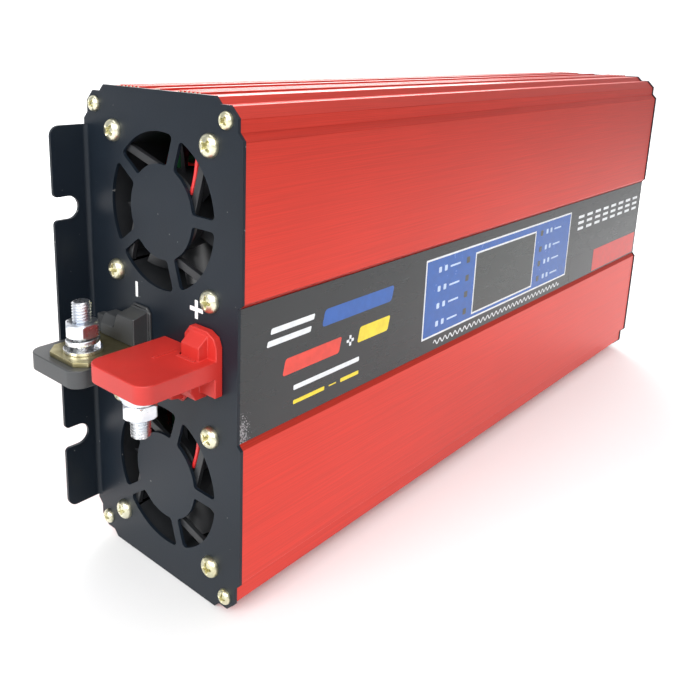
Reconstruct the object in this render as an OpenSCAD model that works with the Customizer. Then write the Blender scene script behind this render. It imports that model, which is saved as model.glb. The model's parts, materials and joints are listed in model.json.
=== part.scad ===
// Power inverter and charger in an extruded case, standing on one long narrow side.
// X runs along the case with the battery end at -X, the label faces -Y, the flanges lie at +Y.
// The origin is the middle of the narrow face that the case stands on.

/* [Case] */
// Length over the outer faces of both end plates
case_len = 424; // [424:2:440]
// Depth of the case, from the label face to the mounting face
case_d = 99; // [99:1:102]
// Height of the end plates, along the broad faces
plate_h = 214; // [214:1:218]
// Thickness of an end plate
plate_t = 1.5; // [1.2:0.1:2]
// Width of the stepped corner, from the virtual outer corner
step_w = 15; // [15:0.5:16]
// The same at the foot of the label face
foot_step_w = 17.5; // [17:0.5:18]
// Depth of the step beside each corner
step_d = 2.8; // [2.4:0.1:3]
// Where the slanted corner begins
ledge = 7.2; // [7:0.1:7.6]
// How far the extruded shells lie inside the end plates' outline
shell_inset = 0.4; // [0.3:0.1:0.5]
// Height of the serrations on the narrow faces above the shells
tooth_h = 0.9; // [0.8:0.1:1]

/* [Mounting flanges] */
// How far a flange reaches out from its end plate
flange_reach = 17.3; // [16:0.1:20]
// Width of a flange
flange_w = 179; // [176:1:184]
// Distance between the two notches of one flange
notch_gap = 108; // [104:1:112]
// Radius of a notch
notch_r = 5.05; // [4.5:0.05:5.5]

/* [Fans] */
// Side of a fan's square frame
fan_size = 70; // [70:1:71]
// Distance between a fan's screws
fan_pitch = 60; // [60:0.5:61]
// Depth of a fan
fan_depth = 25; // [25:1:28]
// Height of each fan's axis above or below the middle of the case
fan_z = 58.8; // [58.5:0.1:59.5]
// Sideways place of the fan axes
fan_y = -2.2; // [-2.5:0.1:0]
// Outer radius of the openings in front of a fan
grille_r = 32.4; // [31:0.1:32.6]
// Radius of the plain disc in front of the fan's hub
grille_hub_r = 19.5; // [18:0.5:20]
// Width of a spoke between two openings
spoke_w = 4.6; // [4:0.1:5]

/* [Battery terminals] */
// Distance of each stud from the end plate
stud_reach = 24.3; // [24:0.1:25]
// Sideways distance of each stud from the middle
stud_y = 19; // [19:0.1:19.4]
// Radius of the stud's thread
stud_r = 4; // [3.9:0.05:4]
// Length of each insulator's tongue
tongue_len = 38.3; // [38:0.1:40]

/* [Label and display] */
// Depth of the recess that holds the label
recess_d = 2; // [1.6:0.1:2.2]
// Lower edge of the label, from the middle of the case
label_lo = -26.9; // [-28:0.1:-26]
// Upper edge of the label, from the middle of the case
label_hi = 29.2; // [28:0.1:30]
// Width of the display window
lcd_w = 70; // [66:1:72]
// Height of the display window
lcd_h = 33.2; // [30:0.2:34]

/* [Moving parts] */
// Tilt of the power rocker at rest, in degrees
rocker_tilt = 10; // [8:1:10]
// Travel of the breaker's reset button
reset_travel = 3; // [2:0.5:3]

/* [Hidden] */
$fn = 64;
half_d = case_d / 2;
half_h = plate_h / 2;
plate_low = tooth_h - shell_inset;
mid_z = half_h + plate_low;
half_len = case_len / 2;
inner_x = half_len - plate_t;
shell_len = 2 * inner_x;
eps = 0.01;
cut = 20;

// Inside of the case
wall_broad = 2.8;
wall_narrow = 3.2;
corner_wall = 5.2;
port_y = 41;
port_z = 98.7;
port_r = 4;
port_core_r = 1.45;
in_y = half_d - wall_broad;
in_z = half_h - wall_narrow;

// Serrated bands: first tooth from the middle, pitch and number
band_y = 12.6;
tooth_pitch = 2.4;
teeth = 6;

// Main circuit board
board_y = 33.4;
board_t = 1.6;
board_len = 356;
board_w = 198;
post_xs = [-166, -56, 56, 166];
post_zs = [-84, 84];

// Middle of the display window, and the lamp rows beside it
lcd_z = mid_z + 1.2;
lamp_x = 43.7;
lamp_zs = [-12.7, -3, 6.2, 16.3];

// Terminal hardware
bar_z = -0.9;
bar_t = 2;
bar_in = 46;

// AC end
out_x = half_len;
outlet_zs = [-50, 6];
outlet_size = 50;
outlet_body = 40;
outlet_screw = 22;
outlet_y = -4;
inlet_z = 76;
inlet_y = 14;
switch_y = -22;
earth_z = -88;

// ---------- helpers ----------

// A (y, z) profile carried along X
module along_x(x, len) translate([x, 0, 0]) rotate([90, 0, 90]) linear_extrude(len) children();

// A round bar along X, Y or Z from its start point
module rod_x(p, r, len) translate(p) rotate([0, 90, 0]) cylinder(r = r, h = len);
module rod_y(p, r, len) translate(p) rotate([-90, 0, 0]) cylinder(r = r, h = len);
module rod_z(p, r, len) translate(p) cylinder(r = r, h = len);

// A block given by its lowest and highest corners
module block(a, b) translate(a) cube(b - a);

// A rectangle with round corners, centred
module round_rect(w, h, r) {
    square([w - 2 * r, h], center = true);
    square([w, h - 2 * r], center = true);
    for (sx = [-1, 1], sy = [-1, 1]) translate([sx * (w / 2 - r), sy * (h / 2 - r)]) circle(r = r);
}

// A prism with a hexagonal section, width over the flats
module hex_x(p, flats, len) translate(p) rotate([0, 90, 0])
    cylinder(r = flats / sqrt(3), h = len, $fn = 6);
module hex_y(p, flats, len) translate(p) rotate([-90, 0, 0])
    cylinder(r = flats / sqrt(3), h = len, $fn = 6);
module hex_z(p, flats, len) translate(p) cylinder(r = flats / sqrt(3), h = len, $fn = 6);

// A cross recess in a screw head that faces -X
module cross_recess(size, depth) {
    for (a = [0, 90]) rotate([a, 0, 0]) translate([depth / 2 - eps, 0, 0])
        cube([depth, size, size / 4], center = true);
}

// A pan-head screw whose shank points along +X from the seat
module pan_screw(p, head_r, head_h, shank_r, len) translate(p) difference() {
    union() {
        rod_x([0, 0, 0], shank_r, len);
        rod_x([-head_h * 0.55, 0, 0], head_r, head_h * 0.55);
        rod_x([-head_h, 0, 0], head_r * 0.82, head_h * 0.45);
    }
    translate([-head_h, 0, 0]) cross_recess(head_r * 1.1, head_h * 0.6);
}

// ---------- case outline ----------

// Offsets of a stepped corner from the virtual corner: [from the broad face, from the narrow face]
function stepped(w, wb) = [[w, 0], [w - step_d, step_d], [ledge, step_d],
    [step_d, ledge], [step_d, wb - step_d], [0, wb]];

// One corner of the outline: signs of y and z, distance inside the plates' outline, the listed offsets
function corner(sy, sz, e, pts) =
    [for (p = pts) [sy * (half_d - e - p[0]), mid_z + sz * (half_h - e - p[1])]];

function turned(pts) = [for (i = [len(pts) - 1:-1:0]) pts[i]];

// The whole outline: four stepped corners and the label's recess with slanted sides
function outline(e) = concat(
    turned(corner(-1, 1, e, stepped(step_w, step_w))),
    corner(1, 1, e, stepped(step_w, step_w)),
    turned(corner(1, -1, e, stepped(step_w, step_w))),
    corner(-1, -1, e, stepped(step_w, foot_step_w)),
    [[-half_d + e, mid_z + label_lo - recess_d], [-half_d + e + recess_d, mid_z + label_lo],
     [-half_d + e + recess_d, mid_z + label_hi], [-half_d + e, mid_z + label_hi + recess_d]]);

// Hollow of the case: closer to the middle behind each stepped corner
cavity_corner = [[18, wall_narrow], [16, corner_wall], [9.8, corner_wall],
    [corner_wall, 9.8], [corner_wall, 16], [wall_broad, 18.4]];
module cavity() polygon(concat(turned(corner(-1, 1, 0, cavity_corner)), corner(1, 1, 0, cavity_corner),
    turned(corner(1, -1, 0, cavity_corner)), corner(-1, -1, 0, cavity_corner)));

// One tooth of the serrated bands: sy is its side, sz the face
module tooth(i, sy, sz) {
    y = sy * (band_y + i * tooth_pitch);
    z0 = mid_z + sz * (half_h - shell_inset - 0.2);
    z1 = mid_z + sz * (half_h - shell_inset + tooth_h);
    polygon([[y - 1, z0], [y + 1, z0], [y + 0.5, z1], [y - 0.5, z1]]);
}

// Plain extruded wall of one half of the case
module half_wall(sy) along_x(-inner_x, shell_len) intersection() {
    difference() {
        polygon(outline(shell_inset));
        cavity();
    }
    translate([sy > 0 ? 0 : -case_d, 0]) square([case_d, 2 * plate_h]);
}

// What the extrusion carries besides its wall: screw ports and serrated bands
module ports_and_bands(sy) for (sz = [-1, 1]) {
    along_x(-inner_x, shell_len) translate([sy * port_y, mid_z + sz * port_z]) circle(r = port_r);
    for (i = [0:teeth - 1]) along_x(-inner_x, shell_len) tooth(i, sy, sz);
}

// Threaded cores of the screw ports
module port_cores(sy) for (sz = [-1, 1])
    rod_x([-inner_x - 1, sy * port_y, mid_z + sz * port_z], port_core_r, shell_len + 2);

// Bead over the joint of the two shells, on one narrow face
bead_w = 3;
module bead(sz) {
    z0 = mid_z + sz * (half_h - shell_inset - 0.9);
    z1 = mid_z + sz * (half_h - shell_inset + tooth_h);
    translate([-bead_w / 2, min(z0, z1)]) square([bead_w, abs(z1 - z0)]);
}

// Tongue of the rear shell that slides into the front shell
module tongue(sz, grow) translate([-3 - grow, mid_z + sz * (half_h - shell_inset - 1.7) - 0.4 - grow])
    square([4 + grow, 0.8 + 2 * grow]);

// ---------- case ----------

module front_shell() color("#c8201c") difference() {
    union() {
        difference() {
            union() {
                half_wall(-1);
                ports_and_bands(-1);
                // thicker wall behind the label
                block([-inner_x, -in_y - 0.1, mid_z + label_lo - 5],
                    [inner_x, -in_y + 2.3, mid_z + label_hi + 5]);
            }
            for (sz = [-1, 1]) along_x(-inner_x - 1, shell_len + 2) tongue(sz, 0.1);
        }
        for (sz = [-1, 1]) along_x(-inner_x, shell_len) bead(sz);
    }
    port_cores(-1);
    // opening behind the display window and a hole behind each lamp
    block([-lcd_w / 2 - 1, -half_d - 1, lcd_z - lcd_h / 2 - 1],
          [lcd_w / 2 + 1, -in_y + cut, lcd_z + lcd_h / 2 + 1]);
    for (sx = [-1, 1], z = lamp_zs) rod_y([sx * lamp_x, -half_d - 1, mid_z + z], 1.7, cut);
}

module rear_shell() color("#b81c18") difference() {
    union() {
        half_wall(1);
        ports_and_bands(1);
        for (sz = [-1, 1]) {
            along_x(-inner_x, shell_len) tongue(sz, 0);
            // pad behind the transistors
            along_x(-inner_x, shell_len)
                translate([6, mid_z + sz * (in_z - 1.2) - 1.4]) square([25, 2.8]);
        }
    }
    port_cores(1);
    // room for the bead of the front shell
    for (sz = [-1, 1]) along_x(-inner_x - 1, shell_len + 2) scale([1.02, 1]) bead(sz);
    // threaded holes for the screws of the clamp bars
    for (s = [-1, 1], x = clamp_xs) rod_z([x, clamp_y, mid_z + s * (in_z - 1.4) - 1.6], 1.55, 3.2);
    // countersunk holes for the screws that hold the board's posts
    for (x = post_xs, z = post_zs) {
        rod_y([x, in_y - 1, mid_z + z], 1.7, 5);
        translate([x, half_d - shell_inset - 1.6, mid_z + z]) rotate([-90, 0, 0])
            cylinder(r1 = 1.7, r2 = 3.4, h = 1.7);
    }
}

// Bent edge and flange of an end plate, at the battery end; outside is -X
bend_r = 2;
module flange() {
    bend_x = -half_len - bend_r;
    bend_y = half_d - plate_t - bend_r;
    translate([0, 0, mid_z - flange_w / 2]) linear_extrude(flange_w) {
        intersection() {
            translate([bend_x, bend_y]) difference() {
                circle(r = bend_r + plate_t);
                circle(r = bend_r);
            }
            translate([bend_x, bend_y]) square(bend_r + plate_t);
        }
    }
    root = bend_x + 1;
    tip = -half_len - flange_reach;
    notch_x = -half_len - 10.25;
    flare = 2;
    translate([0, half_d, mid_z]) rotate([90, 0, 0]) linear_extrude(plate_t) difference() {
        intersection() {
            translate([tip + 30, 0]) round_rect(60, flange_w, 4.5);
            translate([tip, -flange_w / 2]) square([bend_x - tip, flange_w]);
        }
        for (s = [-1, 1]) translate([0, s * notch_gap / 2]) {
            translate([notch_x, 0]) circle(r = notch_r);
            translate([tip - 1, -notch_r]) square([notch_x - tip + 1, 2 * notch_r]);
            difference() {
                translate([tip - 1, -notch_r - flare]) square([flare + 1, 2 * (notch_r + flare)]);
                for (t = [-1, 1]) translate([tip + flare, t * (notch_r + flare)]) circle(r = flare);
            }
        }
    }
}

// Flat of an end plate; the edge along the flange stops where the bend begins
module plate_flat() along_x(-half_len, plate_t) difference() {
    polygon(outline(0));
    translate([half_d - plate_t - bend_r, mid_z - flange_w / 2]) square([cut, flange_w]);
    for (sy = [-1, 1], sz = [-1, 1]) translate([sy * port_y, mid_z + sz * port_z]) circle(r = 1.9);
}

// Openings in front of one fan: a ring cut by five spokes, each opening with rounded corners
grille_corner = 1.8;
spokes = 5;
spoke_turn = 18.5;
module between_spokes(gap) difference() {
    children();
    for (k = [0:spokes - 1]) rotate(spoke_turn + 360 / spokes * k)
        translate([-gap / 2, 0]) square([gap, grille_r + 2]);
}
module annulus(r_in, r_out) difference() {
    circle(r = r_out);
    circle(r = r_in);
}
module grille(z) translate([fan_y, mid_z + z]) {
    c = grille_corner;
    side = spoke_w / 2 + c;
    between_spokes(spoke_w) annulus(grille_hub_r + c, grille_r - c);
    between_spokes(2 * side) annulus(grille_hub_r, grille_r);
    for (k = [0:spokes - 1], s = [-1, 1], r = [grille_hub_r + c, grille_r - c])
        rotate(spoke_turn + 360 / spokes * k)
            translate([s * side, sqrt(r * r - side * side)]) circle(r = c);
}

module dc_end_plate() color("#2b2e33") {
    difference() {
        plate_flat();
        along_x(-half_len - 1, plate_t + 2) for (s = [-1, 1]) {
            grille(s * fan_z);
            for (sy = [-1, 1], sz = [-1, 1])
                translate([fan_y + sy * fan_pitch / 2, mid_z + s * fan_z + sz * fan_pitch / 2])
                    circle(r = 2.4);
            // opening behind a terminal's insulator
            translate([s * 18.9 - 13.6, mid_z - 6.3]) square([27.2, 10.8]);
        }
    }
    flange();
}

// ---------- AC end plate ----------

module ac_end_plate() color("#2b2e33") mirror([1, 0, 0]) {
    difference() {
        plate_flat();
        along_x(-half_len - 1, plate_t + 2) {
            for (z = outlet_zs) translate([outlet_y, mid_z + z]) {
                square(outlet_body + 0.6, center = true);
                for (s = [-1, 1]) translate([s, s] * outlet_screw) circle(r = 1.8);
            }
            translate([inlet_y, mid_z + inlet_z]) {
                square([27.4, 19.6], center = true);
                for (s = [-1, 1]) translate([s * 20, 0]) circle(r = 1.8);
            }
            translate([switch_y, mid_z + inlet_z - 6]) square([13.4, 19.4], center = true);
            translate([switch_y, mid_z + inlet_z + 16]) circle(r = 5.3);
            translate([-24, mid_z + earth_z]) circle(r = 2.2);
            // air outlet slots beside the outlets and at the foot
            for (i = [0:12]) translate([30, mid_z - 76 + i * 9.5]) round_rect(12, 3, 1.49);
            for (i = [0:6]) translate([-8 + i * 5, mid_z + earth_z]) round_rect(3, 14, 1.49);
        }
    }
    flange();
}

// Four screws of one end plate, drawn at the battery end
module end_screws() for (sy = [-1, 1], sz = [-1, 1])
    pan_screw([-half_len, sy * port_y, mid_z + sz * port_z], 3.4, 2.4, 1.4, 12);

module plate_screws() color("#d9cf9a") {
    end_screws();
    mirror([1, 0, 0]) end_screws();
}

// ---------- label and display ----------

label_y = -half_d + shell_inset + recess_d;
overlay_t = 0.4;
module label_overlay() color("#2c2c2e") difference() {
    block([-inner_x, label_y - overlay_t, mid_z + label_lo + 0.2],
        [inner_x, label_y, mid_z + label_hi - 0.2]);
    block([-lcd_w / 2, label_y - 1, lcd_z - lcd_h / 2], [lcd_w / 2, label_y + 1, lcd_z + lcd_h / 2]);
}

module display_window() color("#3c4240") {
    block([-lcd_w / 2, label_y - overlay_t, lcd_z - lcd_h / 2],
        [lcd_w / 2, label_y + 0.1, lcd_z + lcd_h / 2]);
    block([-lcd_w / 2 - 0.8, label_y, lcd_z - lcd_h / 2 - 0.8],
        [lcd_w / 2 + 0.8, label_y + 0.6, lcd_z + lcd_h / 2 + 0.8]);
}

module lcd_module() color("#8a9a7a") {
    block([-36, label_y + 3.2, lcd_z - 18], [36, label_y + 8, lcd_z + 18]);
    block([-33, label_y + 1, lcd_z - 15], [33, label_y + 3.2 + eps, lcd_z + 15]);
}

display_y = label_y + 8;
module display_board() color("#1f5a34") difference() {
    block([-64, display_y, mid_z - 26], [64, display_y + 1.6, mid_z + 30]);
    for (sx = [-1, 1], z = [-22, 26]) rod_y([sx * 60, display_y - 1, mid_z + z], 1.6, 4);
}

// Eight lamps on the board that look out through the shell
module indicator_lamps() color("#5a2a26") for (sx = [-1, 1], z = lamp_zs) {
    rod_y([sx * lamp_x, label_y + 0.4, mid_z + z], 1.5, display_y - label_y - 0.4);
    rod_y([sx * lamp_x, display_y - 1.4, mid_z + z], 1.9, 1.4);
}

module display_posts() color("#c9c9c9") for (sx = [-1, 1], z = [-22, 26]) {
    rod_y([sx * 60, -in_y + 2.3, mid_z + z], 2.6, display_y + in_y - 2.3);
    rod_y([sx * 60, display_y - eps, mid_z + z], 1.5, 1.6 + eps);
    rod_y([sx * 60, display_y + 1.6, mid_z + z], 2.8, 1.8);
}

// ---------- fans ----------

duct_r = 33.1;
motor_r = 17;
motor_t = 2.6;
blade_tip_r = 31.2;
blade_pitch = 42;
blade_chord = 18;
blades = 7;
shaft_r = 1.5;
bearing_r = 3.4;
strut_w = 3.4;
strut_sweep = 28;
strut_len = 27;
fan_x = -inner_x;

// Route of a fan's lead, from the motor plate along a strut, out over the frame and back to the board
lead_r = 0.9;
lead_exit = [[18.6, 26], [22.4, 36]];
lead_route = [[1.7, -15.7, 9.4], [1.7, -16.1, 11], [1.7, -18, 17], [1.7, -19.5, 25],
    [1.7, -20.5, 31], [1.9, -20.5, 35], [4, -20.5, 37], [8, -20.5, 37.4], [16, -20.5, 37.4],
    [24, -20, 37.4], [30, -16, 36], [34, -8, 31], [37, 2, 24], [38, 12, 17], [38, 20, 13], [38, 25, 12], [38, 27.55 - fan_y, 12]];

// One fan's frame: duct, four swept struts, the motor's plate and its bearing tube
module fan_frame(z) translate([fan_x, fan_y, mid_z + z]) {
    difference() {
        rotate([90, 0, 90]) linear_extrude(fan_depth) difference() {
            round_rect(fan_size, fan_size, 4);
            circle(r = duct_r);
        }
        for (sy = [-1, 1], sz = [-1, 1])
            rod_x([-1, sy * fan_pitch / 2, sz * fan_pitch / 2], 1.95, fan_depth + 2);
        // notch for the lead
        block([0.4, -lead_exit[1][0], lead_exit[0][1]], [3.2, -lead_exit[0][0], lead_exit[1][1]]);
    }
    difference() {
        union() {
            rod_x([0, 0, 0], motor_r, motor_t);
            rod_x([0, 0, 0], bearing_r, 17);
            // swept struts, from the diagonals of the frame to the motor plate
            for (k = [0:3]) rotate([45 + 90 * k, 0, 0]) translate([0, 0, duct_r + 0.8])
                rotate([180 - strut_sweep, 0, 0])
                    translate([0.2, -strut_w / 2, 0]) cube([motor_t - 0.4, strut_w, strut_len]);
        }
        rod_x([1.2, 0, 0], shaft_r + 0.04, fan_depth);
    }
}
module fan_frame_upper() color("#17181a") fan_frame(fan_z);
module fan_frame_lower() color("#17181a") fan_frame(-fan_z);

// One fan's rotor: cup, shaft and seven pitched blades
module fan_rotor(z) translate([fan_x, fan_y, mid_z + z]) {
    rod_x([1.6, 0, 0], shaft_r, 19);
    difference() {
        rod_x([3.4, 0, 0], motor_r - 0.4, 18.6);
        rod_x([3.3, 0, 0], motor_r - 2, 16.6);
    }
    for (k = [0:blades - 1]) rotate([k * 360 / blades, 0, 0])
        translate([12.4, 0, 16]) rotate([0, 0, blade_pitch])
        translate([-blade_chord / 2, -0.8, 0]) cube([blade_chord, 1.6, blade_tip_r - 16.4]);
}
module fan_rotor_upper() color("#101113") fan_rotor(fan_z);
module fan_rotor_lower() color("#101113") fan_rotor(-fan_z);

// Coils round each bearing tube
module fan_stators() color("#8a4a22")
    for (s = [-1, 1]) translate([fan_x, fan_y, mid_z + s * fan_z]) difference() {
    union() {
        rod_x([3.8, 0, 0], 7, 10.5);
        for (k = [0:3]) rotate([90 * k, 0, 0]) block([4.2, -3, 0], [14, 3, 13.2]);
    }
    rod_x([3, 0, 0], bearing_r, 12.5);
}

module fan_screws() color("#d9cf9a") for (s = [-1, 1], sy = [-1, 1], sz = [-1, 1])
    pan_screw([-half_len, fan_y + sy * fan_pitch / 2, mid_z + s * fan_z + sz * fan_pitch / 2],
        4.7, 3.2, 1.9, 12);

// A tube swept along a smoothed route: Catmull-Rom points, and a ring of corners square to each tangent
function unit(v) = v / norm(v);
function spline(a, b, c, d, t) = 0.5 * (2 * b + (c - a) * t + (2 * a - 5 * b + 4 * c - d) * t * t
    + (3 * b - a - 3 * c + d) * t * t * t);
function smoothed(q, n) = [for (i = [0:len(q) - 2], k = [0:n - 1])
    spline(q[max(i - 1, 0)], q[i], q[i + 1], q[min(i + 2, len(q) - 1)], k / n), q[len(q) - 1]];
function tangent(q, i) = unit(q[min(i + 1, len(q) - 1)] - q[max(i - 1, 0)]);
lead_ref = [0.5, 0.6, 0.62];
function ring(q, i, r, n) = let (t = tangent(q, i), u = unit(cross(t, lead_ref)), v = cross(t, u))
    [for (k = [0:n - 1]) q[i] + r * (cos(360 * k / n) * u + sin(360 * k / n) * v)];
module tube(route, r) {
    n = 8;
    q = smoothed(route, 3);
    m = len(q);
    polyhedron([for (i = [0:m - 1]) each ring(q, i, r, n)],
        concat([[for (k = [n - 1:-1:0]) k]], [[for (k = [0:n - 1]) (m - 1) * n + k]],
            [for (i = [0:m - 2], k = [0:n - 1]) let (j = (k + 1) % n)
                [i * n + k, i * n + j, (i + 1) * n + j, (i + 1) * n + k]]));
}
module fan_leads() color("#c01818") for (s = [-1, 1]) translate([fan_x, fan_y, mid_z + s * fan_z])
    tube(lead_route, lead_r);

// ---------- battery terminals ----------
// Drawn for the negative terminal with its bar above the tongue. The positive one is the same
// moulding turned half a turn about X.

module positive() translate([0, 0, mid_z + bar_z]) rotate([180, 0, 0])
    translate([0, 0, -mid_z - bar_z]) children();
tz = mid_z + bar_z;
root_x = -half_len;
stud_x = -half_len - stud_reach;
tongue_lo = -7.8;
tongue_hi = -0.3;

// The tongue's plan: round outer corners of radius 6
module tongue_plan() intersection() {
    translate([root_x - tongue_len + 40, 21.6]) round_rect(80, 35.2, 6);
    translate([root_x - tongue_len - 1, 0]) square([tongue_len + 1, 60]);
}

// A side view in X and Z, carried along Y
module along_y(y0, y1, side) translate([0, y1, 0])
    rotate([90, 0, 0]) linear_extrude(y1 - y0) polygon(side);

// Two lumps over the bar with a notch between: the higher one slopes a little, the lower one steeply
lump_x = 8.5;
bar_top = bar_t - 0.3;
module lumps() {
    intersection() {
        along_x(root_x - lump_x, lump_x) translate([0, tz])
            polygon([[6, bar_top], [6, 17], [16.3, 17], [20.8, 6.4], [20.8, bar_top]]);
        along_y(5, 22, [[root_x - lump_x, tz], [root_x - lump_x, tz + 13.8],
            [root_x, tz + 16.2], [root_x, tz]]);
    }
    along_y(20.6, 30, [[root_x - lump_x, tz + bar_top], [root_x - lump_x, tz + 6.8],
        [root_x - 5.9, tz + 10.8],
                       [root_x, tz + 10.8], [root_x, tz + bar_top]]);
    // low rim round the higher lump, and a plain block beside the lower one
    along_x(root_x - 1.2, 1.2) translate([0, tz])
        polygon([[4.6, bar_top], [4.6, 15], [7, 17.4], [16, 17.4], [21, 12], [21, bar_top]]);
    along_x(root_x - 3.9, 3.9) translate([0, tz]) polygon([[24.5, bar_top], [24.5, 7.6], [39.2, 7.6],
                 [39.2, tongue_hi - 1], [33, tongue_hi - 1], [33, bar_top]]);
}

// Dome under the tongue with its own rim
module dome() {
    along_y(24, 34.4, [[root_x, tz + tongue_lo + 0.5], [root_x - 8.2, tz + tongue_lo + 0.5],
                       [root_x - 8.2, tz - 13.2], [root_x - 3.4, tz - 16.8], [root_x, tz - 16.8]]);
    along_x(root_x - 3.4, 3.4) translate([0, tz])
        polygon([[20.4, tongue_lo + 0.5], [20.4, -14.6], [23.6, -18.6], [33.5, -18.6], [37.6, -16.6],
                 [39.2, -12.8], [39.2, tongue_lo + 0.5]]);
}

module insulator() difference() {
    union() {
        translate([0, 0, tz + tongue_lo]) linear_extrude(tongue_hi - tongue_lo) tongue_plan();
        lumps();
        dome();
        // low ribs on the plain side of the tongue
        block([root_x - 18, 18.7, tz + tongue_lo - 0.6], [root_x - 7, 19.9, tz + tongue_lo + 0.2]);
        block([root_x - 10, 23.6, tz + tongue_lo - 0.6], [root_x - 8.8, 34, tz + tongue_lo + 0.2]);
        // neck through the end plate, and a lip behind it
        block([root_x - eps, 7.4, tz - 5], [root_x + plate_t + 0.1, 30.6, tz + 5]);
        block([root_x + plate_t, 5.4, tz - 8], [root_x + plate_t + 2.4, 32.6, tz + 7.6]);
    }
    // slot for the bar, and the pocket that holds the stud's head
    block([root_x - tongue_len - 1, 5.6, tz - 0.3], [root_x + 6, 32.2, tz - 0.3 + bar_t]);
    hex_z([stud_x, stud_y, tz - 6.2], 13.1, 6.2);
}
module terminal_insulator_negative() color("#33363a") insulator();
module terminal_insulator_positive() color("#c92a28") positive() insulator();

// Flat bar with chamfered corners, drilled for the stud, running in through the end plate
module bar() difference() {
    translate([0, 0, tz - 0.3]) linear_extrude(bar_t)
        polygon([[root_x - 35, 10], [root_x - 30.8, 5.6],
            [root_x + bar_in, 5.6], [root_x + bar_in, 32.2],
                 [root_x - 29.8, 32.2], [root_x - 35, 27]]);
    rod_z([stud_x, stud_y, tz - 3], stud_r + 0.15, 10);
    bar_bolt_holes();
}
module terminal_bar_negative() color("#8f7a3c") bar();
module terminal_bar_positive() color("#8f7a3c") positive() bar();

// Hex-head stud: the thread's free end stands above the nut, on a thinner shank
stud_top = 23;
stud_tip = 0.8;
shank_r = 3.3;
nut_low = 8;
nut_t = 6.4;
nut_top = nut_low + nut_t;
module stud() {
    hex_z([stud_x, stud_y, tz - 5.9], 12.9, 5.5);
    rod_z([stud_x, stud_y, tz - 1], shank_r, nut_top + 1.5);
    rod_z([stud_x, stud_y, tz + nut_top], stud_r, stud_top - nut_top - stud_tip);
    translate([stud_x, stud_y, tz + stud_top - stud_tip - eps])
        cylinder(r1 = stud_r, r2 = stud_r - stud_tip, h = stud_tip);
}
module terminal_stud_negative() color("#d5d8da") stud();
module terminal_stud_positive() color("#d5d8da") positive() stud();

module ring_z(z, r, bore, h) difference() {
    rod_z([stud_x, stud_y, tz + z], r, h);
    rod_z([stud_x, stud_y, tz + z - 1], bore, h + 2);
}
// The flat washer lies on the negative bar, and hangs free of the positive one
washer_t = 1.6;
washer_back = 2.7;
module terminal_flat_washers() color("#d5d8da") {
    ring_z(bar_top, 8, 4.2, washer_t);
    positive() ring_z(bar_top + washer_back, 8, 4.2, washer_t);
}
// A spring washer is a split ring between the flat washer and the nut
module split_ring(z) difference() {
    ring_z(z, 7, 4.1, nut_low - z);
    translate([stud_x, stud_y, tz + z - 1]) rotate(60) block([0, -0.6, 0], [10, 0.6, nut_low]);
}
module terminal_spring_washers() color("#d5d8da") {
    split_ring(bar_top + washer_t);
    positive() split_ring(bar_top + washer_back + washer_t);
}
module nut() difference() {
    hex_z([stud_x, stud_y, tz + nut_low], 13, nut_t);
    rod_z([stud_x, stud_y, tz + nut_low - 1], shank_r + 0.05, nut_t + 2);
}
module terminal_nuts() color("#d5d8da") {
    nut();
    positive() nut();
}

// Straps that join each bar to the main board; the positive one steps over the negative bar
strap_x0 = root_x + bar_in - 16;
strap_x1 = strap_x0 + 14;
strap_t = 2;
strap_lift = 12;
bar_bolt_x = root_x + bar_in - 9;
bar_bolt_ys = [11.5, 26.5];
module bar_bolt_holes() for (y = bar_bolt_ys) rod_z([bar_bolt_x, y, tz - 5], 2.2, 10);
module negative_riser() color("#b4703a") difference() {
    block([strap_x0, 6, tz - 0.3 - strap_t], [strap_x1, board_y, tz - 0.3]);
    bar_bolt_holes();
}
module positive_riser() color("#b4703a") difference() {
    union() {
        block([strap_x0, -32, tz + 0.3], [strap_x1, -3, tz + 0.3 + strap_t]);
        block([strap_x0, -3 - strap_t, tz + 0.3], [strap_x1, -3, tz + strap_lift]);
        block([strap_x0, -3 - strap_t, tz + strap_lift - strap_t], [strap_x1, board_y, tz + strap_lift]);
    }
    positive() bar_bolt_holes();
}
// Screws with nuts that clamp the straps to the bars
module bar_screw(y) {
    rod_z([bar_bolt_x, y, tz - 6.5], 2.1, 8.4);
    rod_z([bar_bolt_x, y, tz + bar_t - 0.3], 3.8, 2.6);
    hex_z([bar_bolt_x, y, tz - 0.3 - strap_t - 3.2], 7, 3.2);
}
module bar_screws() color("#c8c8c8") {
    for (y = bar_bolt_ys) bar_screw(y);
    positive() for (y = bar_bolt_ys) bar_screw(y);
}

// ---------- main board and what stands on it ----------

module main_board() color("#1d5632") {
    difference() {
        block([-board_len / 2, board_y, mid_z - board_w / 2],
              [board_len / 2, board_y + board_t, mid_z + board_w / 2]);
        for (x = post_xs, z = post_zs) rod_y([x, board_y - 1, mid_z + z], 1.7, 4);
    }
    // sockets for the fan leads
    for (s = [-1, 1]) translate([fan_x + 38, 27.6, mid_z + s * fan_z + 12])
        block([-3.5, 0, -4], [3.5, board_y - 27.6 + eps, 4]);
}

module board_posts() color("#c9b36a") for (x = post_xs, z = post_zs) difference() {
    hex_y([x, board_y + board_t, mid_z + z], 6, in_y - board_y - board_t);
    rod_y([x, board_y, mid_z + z], 1.3, in_y - board_y + 1);
}

module board_screws() color("#c8c8c8") for (x = post_xs, z = post_zs) {
    rod_y([x, board_y - 2, mid_z + z], 3, 2);
    rod_y([x, board_y - eps, mid_z + z], 1.25, 5);
}

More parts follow.
